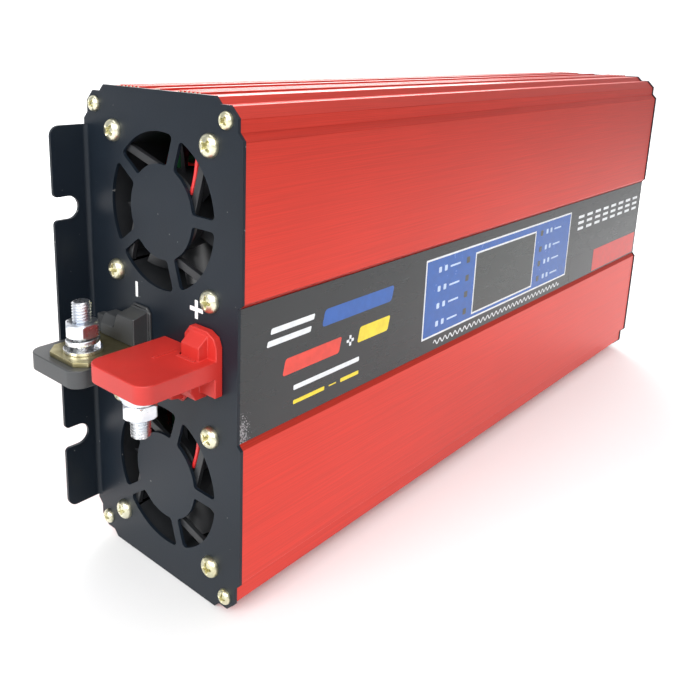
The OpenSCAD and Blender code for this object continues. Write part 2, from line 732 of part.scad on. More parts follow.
// Countersunk screws from the back of the case into the posts
module post_screws() color("#d9cf9a") for (x = post_xs, z = post_zs) {
    rod_y([x, in_y - 4, mid_z + z], 1.25, half_d - shell_inset - in_y + 2.4);
    translate([x, half_d - shell_inset - 1.6, mid_z + z]) rotate([-90, 0, 0])
        cylinder(r1 = 1.6, r2 = 3.3, h = 1.6);
}

module input_capacitors() color("#2a2f3a") for (i = [0:4], s = [-1, 1])
    rod_y([-150 + i * 18, board_y - 36, mid_z + s * 70], 8, 36);

module bus_capacitors() color("#22305a") for (s = [-1, 1])
    rod_y([78, board_y - 52, mid_z + s * 36], 17.5, 52);

// Four ferrite E cores in two pairs, each with a window round its winding
core_xs = [-52, 22];
core_zs = [-34, 34];
core_d = 56;
module transformer_cores() color("#3a3a3c") for (x = core_xs, z = core_zs) difference() {
    block([x - 26, board_y - core_d, mid_z + z - 11], [x + 26, board_y, mid_z + z + 11]);
    for (s = [-1, 1]) block([x + s * 13.5 - 5.5, board_y - core_d + 9, mid_z + z - cut],
                            [x + s * 13.5 + 5.5, board_y - 9, mid_z + z + cut]);
}
module transformer_windings() color("#b06a2c") for (x = core_xs, z = core_zs) difference() {
    block([x - 18.6, board_y - core_d + 9.4, mid_z + z - 21], [x + 18.6, board_y - 9.4, mid_z + z + 21]);
    block([x - 8.4, board_y - core_d, mid_z + z - 11.4], [x + 8.4, board_y, mid_z + z + 11.4]);
}

choke_x = 124;
module ring_y(y, r_in, r_out, h) translate([choke_x, y, mid_z]) rotate([-90, 0, 0]) difference() {
    cylinder(r = r_out, h = h);
    translate([0, 0, -1]) cylinder(r = r_in, h = h + 2);
}
module choke_core() color("#6a7a52") ring_y(board_y - 26, 13, 23, 20);
// The winding wraps the core: one closed ring with a rectangular hollow
module choke_winding() color("#b5662a") difference() {
    ring_y(board_y - 29, 10, 26, 26);
    ring_y(board_y - 26, 13, 23, 20);
    translate([choke_x, 0, mid_z]) block([-4, board_y - 40, 8], [4, board_y, 30]);
}

module blade_fuses() color("#c8a020") for (i = [0:7])
    block([-152 + i * 11, board_y - 14, mid_z - 8], [-148 + i * 11, board_y, mid_z + 12]);

// Power transistors: a body with a tab against the heat pad and three legs into the board
transistor_n = 10;
module transistors(s) for (i = [0:transistor_n - 1]) {
    x = -158 + i * 34;
    z_pad = mid_z + s * (in_z - 3.0);
    z_face = z_pad - s * 4.6;
    lo = min(z_pad, z_face);
    tab_z = z_pad - s * 1.3;
    leg_z = z_face + s * 0.6;
    block([x - 5, 12, lo], [x + 5, 21.4, lo + 4.6]);
    block([x - 5, 6.6, min(z_pad, tab_z)], [x + 5, 12.1, max(z_pad, tab_z)]);
    for (t = [-2.5, 0, 2.5])
        block([x + t - 0.5, 21.3, leg_z - 0.3], [x + t + 0.5, board_y, leg_z + 0.3]);
}
module mosfets_upper() color("#1b1b1d") transistors(1);
module mosfets_lower() color("#1b1b1d") transistors(-1);

clamp_xs = [for (i = [0:4]) -141 + 68 * i];
clamp_y = 16.8;
module insulating_strips() color("#c9d2d8") for (s = [-1, 1]) difference() {
    z = mid_z + s * (in_z - 2.8);
    block([-166, 6.4, z - 0.2], [156, 24, z + 0.2]);
    for (x = clamp_xs) rod_z([x, clamp_y, z - 1], 1.7, 2);
}

module clamp_bars() color("#b9bcc0") for (s = [-1, 1]) {
    z = mid_z + s * (in_z - 7.6);
    difference() {
        block([-166, 13, min(z, z - s * 5)], [156, 20.6, max(z, z - s * 5)]);
        for (x = clamp_xs) rod_z([x, clamp_y, z - cut], 1.7, 2 * cut);
    }
}
module clamp_screws() color("#c8c8c8") for (s = [-1, 1], x = clamp_xs) {
    z = mid_z + s * (in_z - 12.6);
    rod_z([x, clamp_y, min(z, z - s * 2)], 2.9, 2);
    rod_z([x, clamp_y, min(z, z + s * 12)], 1.5, 12);
}

module driver_board() color("#20603a") {
    block([160, -26, mid_z - 60], [161.6, board_y, mid_z + 60]);
    for (i = [0:3]) block([153, -14, mid_z - 48 + i * 26], [160, 10, mid_z - 34 + i * 26]);
}

module relays() color("#1d4f9c") for (s = [-1, 1])
    block([122, board_y - 22, mid_z + s * 60 - 14], [150, board_y, mid_z + s * 60 + 14]);

// ---------- AC end: outlets, inlet, switch, breaker, earth ----------

// Universal outlet: two live openings and an earth opening through the face
live_y = 7.5;
module outlet_holes(z) {
    for (sy = [-1, 1])
        translate([outlet_y + sy * live_y, mid_z + z - 4]) square([6, 7.4], center = true);
    translate([outlet_y, mid_z + z + 8.5]) square([6, 8], center = true);
}
module outlet(z) {
    along_x(out_x, 4) difference() {
        translate([outlet_y, mid_z + z]) round_rect(outlet_size, outlet_size, 4);
        outlet_holes(z);
        for (s = [-1, 1])
            translate([outlet_y + s * outlet_screw, mid_z + z + s * outlet_screw]) circle(r = 1.8);
    }
    along_x(out_x - 22, 22 + eps) difference() {
        translate([outlet_y, mid_z + z]) square(outlet_body, center = true);
        outlet_holes(z);
    }
    along_x(out_x - 24, 2 + eps) translate([outlet_y, mid_z + z]) square(outlet_body, center = true);
}
module outlet_lower() color("#222326") outlet(outlet_zs[0]);
module outlet_upper() color("#222326") outlet(outlet_zs[1]);

// A spring contact lies against the -Y side of each opening
module contact(y, z, h) block([out_x - 21.9, y + 0.02, z], [out_x - 14, y + 0.7, z + h]);
module outlet_contacts() color("#b8923c") for (z = outlet_zs) {
    for (sy = [-1, 1]) contact(outlet_y + sy * live_y - 3, mid_z + z - 7.4, 6.8);
    contact(outlet_y - 3, mid_z + z + 4.9, 7.2);
}

// Heads of the outlet and inlet screws face +X
module outlet_screws() color("#c8c8c8") mirror([1, 0, 0]) {
    for (z = outlet_zs, s = [-1, 1])
        pan_screw([-out_x - 4, outlet_y + s * outlet_screw, mid_z + z + s * outlet_screw], 3, 2, 1.5, 7);
    for (s = [-1, 1]) pan_screw([-out_x - 2.4, inlet_y + s * 20, mid_z + inlet_z], 3, 2, 1.5, 6);
}

// Appliance inlet: a flanged cup with three blades
inlet_in = 17;
inlet_pin_yz = [[-7, 3], [0, -1], [7, 3]];
module inlet_blades() for (t = inlet_pin_yz) translate([inlet_y + t[0], mid_z + inlet_z + t[1]])
    square([2, 4], center = true);
module charger_inlet() color("#1c1c1f") {
    along_x(out_x, 2.4) difference() {
        union() {
            translate([inlet_y, mid_z + inlet_z]) round_rect(30, 22.4, 2);
            translate([inlet_y, mid_z + inlet_z]) round_rect(48, 12, 5.9);
        }
        translate([inlet_y, mid_z + inlet_z]) square([24.4, 16.6], center = true);
        for (s = [-1, 1]) translate([inlet_y + s * 20, mid_z + inlet_z]) circle(r = 1.8);
    }
    along_x(out_x - inlet_in, inlet_in + eps) difference() {
        translate([inlet_y, mid_z + inlet_z]) square([27, 19.2], center = true);
        translate([inlet_y, mid_z + inlet_z]) square([24.4, 16.6], center = true);
    }
    along_x(out_x - inlet_in - 3, 3 + eps) difference() {
        translate([inlet_y, mid_z + inlet_z]) square([27, 19.2], center = true);
        inlet_blades();
    }
}
module inlet_pins() color("#c0a050") along_x(out_x - inlet_in - 8, inlet_in + 6.5) inlet_blades();

// Rocker switch: housing with bores for the rocker's pivot
rocker_x = out_x - 3.4;
rocker_z = mid_z + inlet_z - 6;
pivot_r = 1.5;
module switch_housing() color("#17181a") difference() {
    union() {
        along_x(out_x, 2) translate([switch_y, rocker_z]) round_rect(15.6, 21.6, 1.4);
        along_x(out_x - 17, 17 + eps) translate([switch_y, rocker_z]) square([13, 19], center = true);
    }
    along_x(out_x - 12, cut) translate([switch_y, rocker_z]) square([10.4, 16.8], center = true);
    rod_y([rocker_x, switch_y - 6, rocker_z], pivot_r + 0.05, 12);
}
// Two pads leaning away from the pivot, turned to the off position
module power_rocker() color("#b01c1c") translate([rocker_x, 0, rocker_z]) rotate([0, rocker_tilt, 0]) {
    translate([0, switch_y + 4.9, 0]) rotate([90, 0, 0]) linear_extrude(9.8)
        polygon([[-6, -4], [3.6, -7.3], [5.6, -7.1], [3.9, 0], [5.6, 7.1], [3.6, 7.3], [-6, 4]]);
    rod_y([0, switch_y - 5.9, 0], pivot_r, 11.8);
}

// Push-to-reset breaker: threaded bushing outside, body inside
breaker_pz = mid_z + inlet_z + 16;
module breaker_body() color("#1e1f22") difference() {
    union() {
        rod_x([out_x - 8, switch_y, breaker_pz], 5.1, 12);
        rod_x([out_x, switch_y, breaker_pz], 7.6, 2.6);
        block([out_x - 34, switch_y - 7, breaker_pz - 6], [out_x - 7.9, switch_y + 7, breaker_pz + 6]);
    }
    rod_x([out_x - 12, switch_y, breaker_pz], 3.06, 20);
}
module reset_button() color("#d8d8d4") rod_x([out_x - 6, switch_y, breaker_pz], 3, 5 + reset_travel * 3);

module earth_stud() color("#c8c8c8") {
    rod_x([out_x - 12, -24, mid_z + earth_z], 2, 17);
    rod_x([out_x + 4.9, -24, mid_z + earth_z], 2.5, 9);
    hex_x([out_x - plate_t - 3.4, -24, mid_z + earth_z], 8, 3.4);
}
module earth_nut() color("#c8c8c8") difference() {
    union() {
        hex_x([out_x + 1, -24, mid_z + earth_z], 8, 3.8);
        rod_x([out_x, -24, mid_z + earth_z], 5, 1);
    }
    rod_x([out_x - 1, -24, mid_z + earth_z], 2.05, 8);
}

// ---------- nodes ----------

front_shell();
rear_shell();
dc_end_plate();
ac_end_plate();
plate_screws();
label_overlay();
display_window();
lcd_module();
display_board();
indicator_lamps();
display_posts();
fan_frame_upper();
fan_frame_lower();
fan_rotor_upper();
fan_rotor_lower();
fan_stators();
fan_screws();
fan_leads();
terminal_insulator_negative();
terminal_insulator_positive();
terminal_bar_negative();
terminal_bar_positive();
terminal_stud_negative();
terminal_stud_positive();
terminal_flat_washers();
terminal_spring_washers();
terminal_nuts();
negative_riser();
positive_riser();
bar_screws();
main_board();
board_posts();
board_screws();
post_screws();
input_capacitors();
bus_capacitors();
transformer_cores();
transformer_windings();
choke_core();
choke_winding();
blade_fuses();
mosfets_upper();
mosfets_lower();
insulating_strips();
clamp_bars();
clamp_screws();
driver_board();
relays();
outlet_lower();
outlet_upper();
outlet_contacts();
charger_inlet();
inlet_pins();
switch_housing();
power_rocker();
breaker_body();
reset_button();
earth_stud();
earth_nut();
outlet_screws();
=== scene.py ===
"""Looks of a power inverter in a red extruded case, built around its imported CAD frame.

The CAD gives every place and size. This script gives the finishes, rounds the edges of the visible
shells, and replaces the fasteners, the terminal hardware and the fan rotors by finer surfaces.
All lengths are metres. X runs along the case, -Y is the label face, +Z is up.
"""

import json
import logging
import math
from dataclasses import dataclass, field
from enum import Enum
from typing import Callable, Iterable, Optional, Sequence, Union

import bmesh
import bpy
import numpy as np
from mathutils import Matrix, Vector


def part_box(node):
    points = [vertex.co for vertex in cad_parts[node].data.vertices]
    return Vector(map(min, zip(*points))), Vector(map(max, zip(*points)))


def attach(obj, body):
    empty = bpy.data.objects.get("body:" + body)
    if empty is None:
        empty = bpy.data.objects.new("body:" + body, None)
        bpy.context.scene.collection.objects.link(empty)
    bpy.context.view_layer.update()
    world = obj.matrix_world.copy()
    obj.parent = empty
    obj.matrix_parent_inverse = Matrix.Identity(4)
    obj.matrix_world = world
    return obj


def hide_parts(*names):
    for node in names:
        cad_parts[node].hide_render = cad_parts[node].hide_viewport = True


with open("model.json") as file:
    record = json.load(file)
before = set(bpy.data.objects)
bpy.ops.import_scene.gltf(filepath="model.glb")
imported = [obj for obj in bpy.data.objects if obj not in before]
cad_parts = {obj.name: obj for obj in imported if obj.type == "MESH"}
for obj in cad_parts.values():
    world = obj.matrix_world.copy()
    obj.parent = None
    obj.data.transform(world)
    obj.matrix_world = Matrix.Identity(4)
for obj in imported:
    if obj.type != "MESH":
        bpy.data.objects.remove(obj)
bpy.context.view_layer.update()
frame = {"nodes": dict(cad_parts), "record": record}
MM = 0.001
TURN = 2 * math.pi
PLATE = 1.5 * MM
LOG = logging.getLogger("inverter")
Colour = tuple[float, float, float]
Number = Union[int, float]


# ---------------------------------------------------------------- shader maths


class Value:
    """A shader socket that takes part in Python arithmetic."""

    def __init__(self, graph: "Graph", socket: bpy.types.NodeSocket) -> None:
        """Wraps a socket.

        Args:
            graph: the node tree that the socket belongs to.
            socket: an output socket.
        """
        self.graph = graph
        self.socket = socket

    def _math(self, operation: str, *others: Union["Value", Number], flip: bool = False) -> "Value":
        """Adds one Math node.

        Args:
            operation: name of the Math node's operation.
            others: the other operands.
            flip: whether this value is the second operand.

        Returns:
            The node's result.
        """
        operands = [self, *others]
        if flip:
            operands.reverse()
        return self.graph.node("ShaderNodeMath", {"operation": operation}, dict(enumerate(operands)))

    def __add__(self, other: Union["Value", Number]) -> "Value":
        """Sum."""
        return self._math("ADD", other)

    __radd__ = __add__

    def __sub__(self, other: Union["Value", Number]) -> "Value":
        """Difference."""
        return self._math("SUBTRACT", other)

    def __rsub__(self, other: Number) -> "Value":
        """Reflected difference."""
        return self._math("SUBTRACT", other, flip=True)

    def __mul__(self, other: Union["Value", Number]) -> "Value":
        """Product."""
        return self._math("MULTIPLY", other)

    __rmul__ = __mul__

    def __gt__(self, other: Union["Value", Number]) -> "Value":
        """1 where this value is the larger, else 0."""
        return self._math("GREATER_THAN", other)

    def __lt__(self, other: Union["Value", Number]) -> "Value":
        """1 where this value is the smaller, else 0."""
        return self._math("LESS_THAN", other)

    def __abs__(self) -> "Value":
        """Distance from zero."""
        return self._math("ABSOLUTE")

    def ramp(self, low: float, high: float) -> "Value":
        """Rises from 0 to 1 between two values.

        Args:
            low: where the result is 0.
            high: where the result is 1.

        Returns:
            The eased share.
        """
        limits = {"Value": self, "From Min": low, "From Max": high}
        return self.graph.node("ShaderNodeMapRange", {"interpolation_type": "SMOOTHSTEP"}, limits)


class Graph:
    """The node tree of one material."""

    def __init__(self, name: str) -> None:
        """Starts an empty material.

        Args:
            name: the material's name.
        """
        self.material = bpy.data.materials.new(name)
        self.material.use_nodes = True
        self.tree = self.material.node_tree
        self.tree.nodes.clear()
        self.place = self.node("ShaderNodeTexCoord", {}, {}, "Object")

    def node(self, kind: str, settings: dict, inputs: dict, output: Union[int, str] = 0) -> Value:
        """Adds a node.

        Args:
            kind: the node's type.
            settings: attributes set first; "stops" fills a colour ramp.
            inputs: socket name or number to a value, or to a wrapped socket to link.
            output: which output to return.

        Returns:
            The wrapped output.
        """
        made = self.tree.nodes.new(kind)
        for key, setting in settings.items():
            if key == "stops":
                elements = made.color_ramp.elements
                while len(elements) < len(setting):
                    elements.new(0.5)
                for element, (position, colour) in zip(elements, setting):
                    element.position, element.color = position, (*colour, 1.0)
            else:
                setattr(made, key, setting)
        for key, value in inputs.items():
            if isinstance(value, Value):
                self.tree.links.new(value.socket, made.inputs[key])
            else:
                made.inputs[key].default_value = value
        return Value(self, made.outputs[output])

    def stretched(self, scale: Sequence[float]) -> Value:
        """Object coordinates times a scale for each axis."""
        return self.node("ShaderNodeMapping", {}, {"Vector": self.place, "Scale": tuple(scale)})

    def noise(self, scale: float, detail: float = 2.0, vector: Optional[Value] = None) -> Value:
        """Smooth noise between about 0.2 and 0.8.

        Args:
            scale: cycles for each metre, or for each unit of vector.
            detail: how many finer layers are added.
            vector: coordinates, by default the object's own.

        Returns:
            The noise.
        """
        inputs = {"Vector": vector or self.place, "Scale": scale, "Detail": detail}
        return self.node("ShaderNodeTexNoise", {}, inputs)

    def axis(self, number: int) -> Value:
        """One of the object coordinates, in metres: 0 is X, 1 is Y, 2 is Z."""
        return self.node("ShaderNodeSeparateXYZ", {}, {0: self.place}, number)

    def mix(self, share: Value, first: Union[Value, Colour], second: Union[Value, Colour]) -> Value:
        """Mixes two colours.

        Args:
            share: 0 for the first colour and 1 for the second.
            first: a colour or a wrapped colour.
            second: a colour or a wrapped colour.

        Returns:
            The mixed colour.
        """
        made = self.tree.nodes.new("ShaderNodeMix")
        made.data_type = "RGBA"
        colours = [socket for socket in made.inputs if socket.type == "RGBA"]
        self.tree.links.new(share.socket, made.inputs[0])
        for socket, colour in zip(colours, (first, second)):
            if isinstance(colour, Value):
                self.tree.links.new(colour.socket, socket)
            else:
                socket.default_value = (*colour, 1.0)
        return Value(self, next(socket for socket in made.outputs if socket.type == "RGBA"))

    def bump(self, height: Value, distance: float, strength: float = 1.0) -> Value:
        """A normal bent by a height.

        Args:
            height: 0 to 1.
            distance: depth in metres of a height of 1.
            strength: share of the effect.

        Returns:
            The bent normal.
        """
        inputs = {"Height": height, "Distance": distance, "Strength": strength}
        return self.node("ShaderNodeBump", {}, inputs, "Normal")

    def finish(self, **sockets: Union[Value, Number, Colour]) -> bpy.types.Material:
        """Ends the material in one Principled shader.

        Args:
            sockets: the shader's sockets, with underscores for spaces.

        Returns:
            The material.
        """
        shader = self.tree.nodes.new("ShaderNodeBsdfPrincipled")
        for key, value in sockets.items():
            socket = shader.inputs[key.replace("_", " ")]
            if isinstance(value, Value):
                self.tree.links.new(value.socket, socket)
            else:
                socket.default_value = (*value, 1.0) if isinstance(value, tuple) else value
        surface = self.tree.nodes.new("ShaderNodeOutputMaterial")
        self.tree.links.new(shader.outputs[0], surface.inputs[0])
        return self.material


# ---------------------------------------------------------------- finishes


def shade(colour: Colour, factor: float) -> Colour:
    """A colour times a factor, kept below 1."""
    return tuple(min(1.0, channel * factor) for channel in colour)


@dataclass(frozen=True)
class BrushedAnodised:
    """Anodised aluminium, brushed along the case, with bare metal on its sawn ends."""

    name: str
    colour: Colour
    bare: Colour = (0.78, 0.72, 0.58)
    half_length: float = 210.45 * MM

    def make(self) -> bpy.types.Material:
        """Streaks are noise stretched along X; the dye is a little uneven over each face."""
        g = Graph(self.name)
        streak = g.noise(1.0, 3.0, g.stretched((24, 2600, 2600)))
        fine = g.noise(1.0, 2.0, g.stretched((90, 6500, 6500)))
        cloud = g.noise(9.0, 2.0)
        sawn = abs(g.axis(0)) > self.half_length
        dyed = g.mix(streak.ramp(0.25, 0.75), shade(self.colour, 0.9), shade(self.colour, 1.08))
        dyed = g.mix(cloud.ramp(0.35, 0.7) * 0.3, dyed, shade(self.colour, 0.86))
        colour = g.mix(sawn, dyed, self.bare)
        roughness = 0.33 + 0.08 * streak + 0.06 * cloud + 0.1 * sawn
        normal = g.bump(streak * 0.5 + fine * 0.5, 0.03 * MM, 0.45)
        return g.finish(Base_Color=colour, Metallic=0.75, Roughness=roughness, Normal=normal,
                        Coat_Weight=0.28, Coat_Roughness=0.22)


@dataclass(frozen=True)
class PowderCoat:
    """Satin black coating with a fine orange-peel surface and a few dust specks."""

    name: str
    colour: Colour
    roughness: float = 0.38

    def make(self) -> bpy.types.Material:
        """The peel is fine noise; the specks are the peaks of a coarser one."""
        g = Graph(self.name)
        peel = g.noise(900.0, 2.0)
        cloud = g.noise(14.0, 3.0)
        speck = g.noise(420.0, 1.0).ramp(0.775, 0.8)
        colour = g.mix(cloud.ramp(0.3, 0.7), shade(self.colour, 0.85), shade(self.colour, 1.2))
        colour = g.mix(speck * 0.4, colour, (0.3, 0.3, 0.29))
        roughness = self.roughness - 0.05 + 0.1 * cloud + 0.2 * speck
        return g.finish(Base_Color=colour, Roughness=roughness, Specular_IOR_Level=0.25,
                        Normal=g.bump(peel, 0.06 * MM, 0.35))


@dataclass(frozen=True)
class Moulded:
    """Moulded plastic with a spark-eroded grain and faint flow marks."""

    name: str
    colour: Colour
    roughness: float = 0.45
    grain: float = 0.03
    coat: float = 0.0

    def make(self) -> bpy.types.Material:
        """Colour and gloss drift slowly over the piece; the grain is a fine bump."""
        g = Graph(self.name)
        flow = g.noise(38.0, 3.0)
        grain = g.noise(3200.0, 1.0)
        scuff = g.noise(1.0, 2.0, g.stretched((260, 900, 420))).ramp(0.66, 0.76)
        colour = g.mix(flow.ramp(0.3, 0.7), shade(self.colour, 0.88), shade(self.colour, 1.1))
        colour = g.mix(scuff * 0.12, colour, shade(self.colour, 1.9))
        roughness = self.roughness - 0.06 + 0.12 * flow + 0.1 * scuff
        return g.finish(Base_Color=colour, Roughness=roughness, Coat_Weight=self.coat, Coat_Roughness=0.15,
                        Normal=g.bump(grain, self.grain * MM, 0.5))


@dataclass(frozen=True)
class Metal:
    """Plated or bare metal with drawing marks along one axis and a patchy surface."""

    name: str
    colour: Colour
    tint: Colour
    roughness: float = 0.25
    marks: tuple[float, float, float] = (900.0, 900.0, 900.0)
    patch: float = 90.0

    def make(self) -> bpy.types.Material:
        """The tint lies in patches; the marks are noise stretched by their three scales."""
        g = Graph(self.name)
        patches = g.noise(self.patch, 3.0)
        marks = g.noise(1.0, 2.0, g.stretched(self.marks))
        colour = g.mix(patches.ramp(0.35, 0.68), self.colour, self.tint)
        colour = g.mix(marks.ramp(0.5, 0.8) * 0.25, colour, shade(self.colour, 0.7))
        roughness = self.roughness + 0.14 * patches + 0.08 * marks - 0.08
        normal = g.bump(marks, 0.02 * MM, 0.5)
        return g.finish(Base_Color=colour, Metallic=1.0, Roughness=roughness, Normal=normal)


@dataclass(frozen=True)
class PrintedFilm:
    """Glossy printed film, lightly rubbed, and scuffed at the near lower corner."""

    name: str
    colour: Colour
    scuffed: bool = False
    corner: tuple[float, float] = (-208.5 * MM, 90 * MM)

    def make(self) -> bpy.types.Material:
        """Rubbing shows in the gloss; the scuffs are noise peaks near one corner."""
        g = Graph(self.name)
        rub = g.noise(1.0, 3.0, g.stretched((40, 200, 260)))
        cloud = g.noise(24.0, 2.0)
        colour = g.mix(cloud.ramp(0.3, 0.7), shade(self.colour, 0.93), shade(self.colour, 1.07))
        roughness = 0.2 + 0.1 * rub + 0.06 * cloud
        if self.scuffed:
            near = 1 - g.axis(0).ramp(self.corner[0], self.corner[0] + 7 * MM)
            low = 1 - g.axis(2).ramp(self.corner[1] - 6 * MM, self.corner[1] + 12 * MM)
            chips = (g.noise(1500.0, 3.0) + near * low * 0.32).ramp(0.76, 0.84)
            colour = g.mix(chips, colour, (0.24, 0.23, 0.24))
            roughness = roughness + 0.35 * chips
        return g.finish(Base_Color=colour, Roughness=roughness, Coat_Weight=0.22, Coat_Roughness=0.12,
                        Specular_IOR_Level=0.42, Normal=g.bump(rub, 0.03 * MM, 0.2))


@dataclass(frozen=True)
class CircuitBoard:
    """Solder mask over copper, with lighter pads in a regular pitch."""

    name: str
    colour: Colour

    def make(self) -> bpy.types.Material:
        """Traces are the bands of a stretched noise, pads the cells of a brick pattern."""
        g = Graph(self.name)
        traces = g.noise(1.0, 0.0, g.stretched((60, 60, 240))).ramp(0.48, 0.5)
        cells = {"Vector": g.place, "Scale": 210.0}
        pads = g.node("ShaderNodeTexVoronoi", {"distance": "CHEBYCHEV"}, cells) < 0.18
        colour = g.mix(traces, shade(self.colour, 0.75), shade(self.colour, 1.35))
        colour = g.mix(pads, colour, (0.62, 0.6, 0.55))
        return g.finish(Base_Color=colour, Roughness=0.3 + 0.2 * g.noise(60.0), Metallic=pads * 0.9,
                        Normal=g.bump(traces * 0.6 + pads * 0.4, 0.05 * MM, 0.6))


@dataclass(frozen=True)
class WoundWire:
    """Turns of enamelled wire, seen as fine even ridges."""

    name: str
    colour: Colour
    pitch: float = 1.1 * MM

    def make(self) -> bpy.types.Material:
        """The ridges are a band wave with one cycle for each turn of wire. The colour follows the same wave
        as painted shade in the grooves between turns and a painted highlight on each crest.
        """
        g = Graph(self.name)
        turns = {"Vector": g.place, "Scale": 1 / (10 * self.pitch), "Distortion": 0.6}
        ridge = g.node("ShaderNodeTexWave", {"bands_direction": "Z"}, turns)
        ridge = g.node("ShaderNodeSeparateXYZ", {}, {0: ridge}, 0)
        # Painted shade and painted highlight: the colour falls to 0.45 of the wire's own in the grooves
        # between turns and rises to 1.15 on each crest.
        colour = g.mix(ridge, shade(self.colour, 0.45), shade(self.colour, 1.15))
        return g.finish(Base_Color=colour, Metallic=0.7, Roughness=0.28 + 0.15 * g.noise(200.0),
                        Normal=g.bump(ridge, 0.3 * MM, 0.8), Coat_Weight=0.4)


@dataclass(frozen=True)
class Ink:
    """Screen-printed ink: opaque, a little uneven at its surface."""

    name: str
    colour: Colour
    roughness: float = 0.3

    def make(self) -> bpy.types.Material:
        """Cover and gloss vary slowly."""
        g = Graph(self.name)
        cover = g.noise(260.0, 2.0)
        colour = g.mix(cover.ramp(0.3, 0.7), shade(self.colour, 0.92), shade(self.colour, 1.04))
        return g.finish(Base_Color=colour, Roughness=self.roughness - 0.05 + 0.12 * cover, Coat_Weight=0.1,
                        Coat_Roughness=0.15, Normal=g.bump(cover, 0.01 * MM, 0.4))


@dataclass(frozen=True)
class StudioFloor:
    """Pale seamless paper."""

    name: str
    colour: Colour

    def make(self) -> bpy.types.Material:
        """Paper fibre as a faint change of colour and height; the paper behind the object glows.

        The glow grows with the distance behind the object, and fades out to the right of it.
        """
        g = Graph(self.name)
        fibre = g.noise(700.0, 2.0)
        behind = (g.axis(0) * 0.7255 + g.axis(1) * 0.6418).ramp(-0.05, 0.6)
        beside = (g.axis(1) - g.axis(0) * 0.2126).ramp(-0.5, -0.165)
        glow = g.mix(behind * beside, (0.0, 0.0, 0.0), (1.0, 1.0, 1.0))
        colour = g.mix(fibre, shade(self.colour, 0.99), self.colour)
        return g.finish(Base_Color=colour, Roughness=0.75, Normal=g.bump(fibre, 0.02 * MM, 0.1),
                        Emission_Color=glow, Emission_Strength=0.62)


RED = (0.7, 0.043, 0.024)
FINISHES = {
    "red_anodised": BrushedAnodised("red_anodised_aluminium", RED),
    "black_plate": PowderCoat("black_powder_coat", (0.007, 0.011, 0.017)),
    "yellow_zinc": Metal("yellow_zinc_plating", (0.8, 0.78, 0.6), (0.74, 0.7, 0.47), 0.3, patch=40.0),
    "label_film": PrintedFilm("black_label_film", (0.016, 0.018, 0.019), True),
    "window": PrintedFilm("display_window_tint", (0.03, 0.034, 0.032)),
    "lcd": PrintedFilm("liquid_crystal_glass", (0.3, 0.34, 0.26)),
    "circuit_board": CircuitBoard("green_solder_mask", (0.03, 0.17, 0.06)),
    "lamp": Moulded("lamp_epoxy", (0.3, 0.05, 0.03), 0.15, 0.005, 0.5),
    "steel": Metal("bright_steel", (0.62, 0.62, 0.63), (0.52, 0.54, 0.57), 0.28),
    "fan_black": Moulded("fan_plastic", (0.016, 0.017, 0.019), 0.38, 0.03),
    "copper_coil": WoundWire("enamelled_copper", (0.6, 0.24, 0.1)),
    "red_lead": Moulded("red_lead_sleeve", (0.62, 0.02, 0.02), 0.32, 0.01, 0.3),
    "black_nylon": Moulded("charcoal_nylon", (0.04, 0.042, 0.044), 0.42, 0.05),
    "red_nylon": Moulded("red_nylon", (0.47, 0.022, 0.016), 0.42, 0.04),
    "bus_brass": Metal("dull_brass", (0.5, 0.45, 0.26), (0.36, 0.31, 0.15), 0.32, (60, 1400, 1400), 120),
    "bright_zinc": Metal("bright_zinc_plating", (0.82, 0.83, 0.84), (0.64, 0.68, 0.75), 0.26),
    "copper_strap": Metal("bare_copper", (0.72, 0.36, 0.22), (0.5, 0.22, 0.12), 0.32),
    "brass_fitting": Metal("bright_brass", (0.78, 0.6, 0.28), (0.66, 0.48, 0.2), 0.26),
    "dark_sleeve": Moulded("capacitor_sleeve", (0.02, 0.03, 0.07), 0.25, 0.01, 0.4),
    "ferrite": Moulded("ground_ferrite", (0.045, 0.043, 0.042), 0.6, 0.12),
    "fuse_yellow": Moulded("fuse_body", (0.75, 0.5, 0.05), 0.2, 0.005, 0.5),
    "epoxy": Moulded("transistor_epoxy", (0.018, 0.018, 0.02), 0.5, 0.05),
    "thermal_pad": Moulded("silicone_pad", (0.5, 0.53, 0.56), 0.6, 0.04),
    "bare_aluminium": Metal("mill_aluminium", (0.74, 0.74, 0.75), (0.62, 0.63, 0.65), 0.3, (40, 1600, 1600)),
    "relay_blue": Moulded("relay_cover", (0.02, 0.1, 0.4), 0.25, 0.01, 0.3),
    "fitting_black": Moulded("black_polycarbonate", (0.02, 0.021, 0.023), 0.34, 0.02, 0.15),
    "rocker_red": Moulded("red_rocker", (0.6, 0.02, 0.015), 0.26, 0.01, 0.3),
    "button_white": Moulded("white_button", (0.78, 0.78, 0.75), 0.3, 0.01, 0.2),
}


class Wardrobe:
    """Makes each finish once and dresses nodes and pieces with it."""

    def __init__(self, finishes: dict) -> None:
        """Keeps the finishes.

        Args:
            finishes: material slot of the record to a finish.
        """
        self.finishes = finishes
        self.made: dict[str, bpy.types.Material] = {}
        self.slot_of = {row["node"]: row["material_slot"] for row in frame["record"]["subparts"]}

    def material(self, slot: str) -> bpy.types.Material:
        """The material of a slot, made on first use."""
        if slot not in self.made:
            self.made[slot] = self.finishes[slot].make()
        return self.made[slot]

    def dress(self, piece: bpy.types.Object, material: bpy.types.Material) -> None:
        """Gives a piece one material."""
        piece.data.materials.clear()
        piece.data.materials.append(material)

    def dress_nodes(self) -> None:
        """Gives every CAD node the finish of its slot, through its material slots."""
        for name, node in frame["nodes"].items():
            material = self.material(self.slot_of[name])
            if not node.material_slots:
                node.data.materials.append(material)
            for holder in node.material_slots:
                holder.material = material


# ---------------------------------------------------------------- surfaces


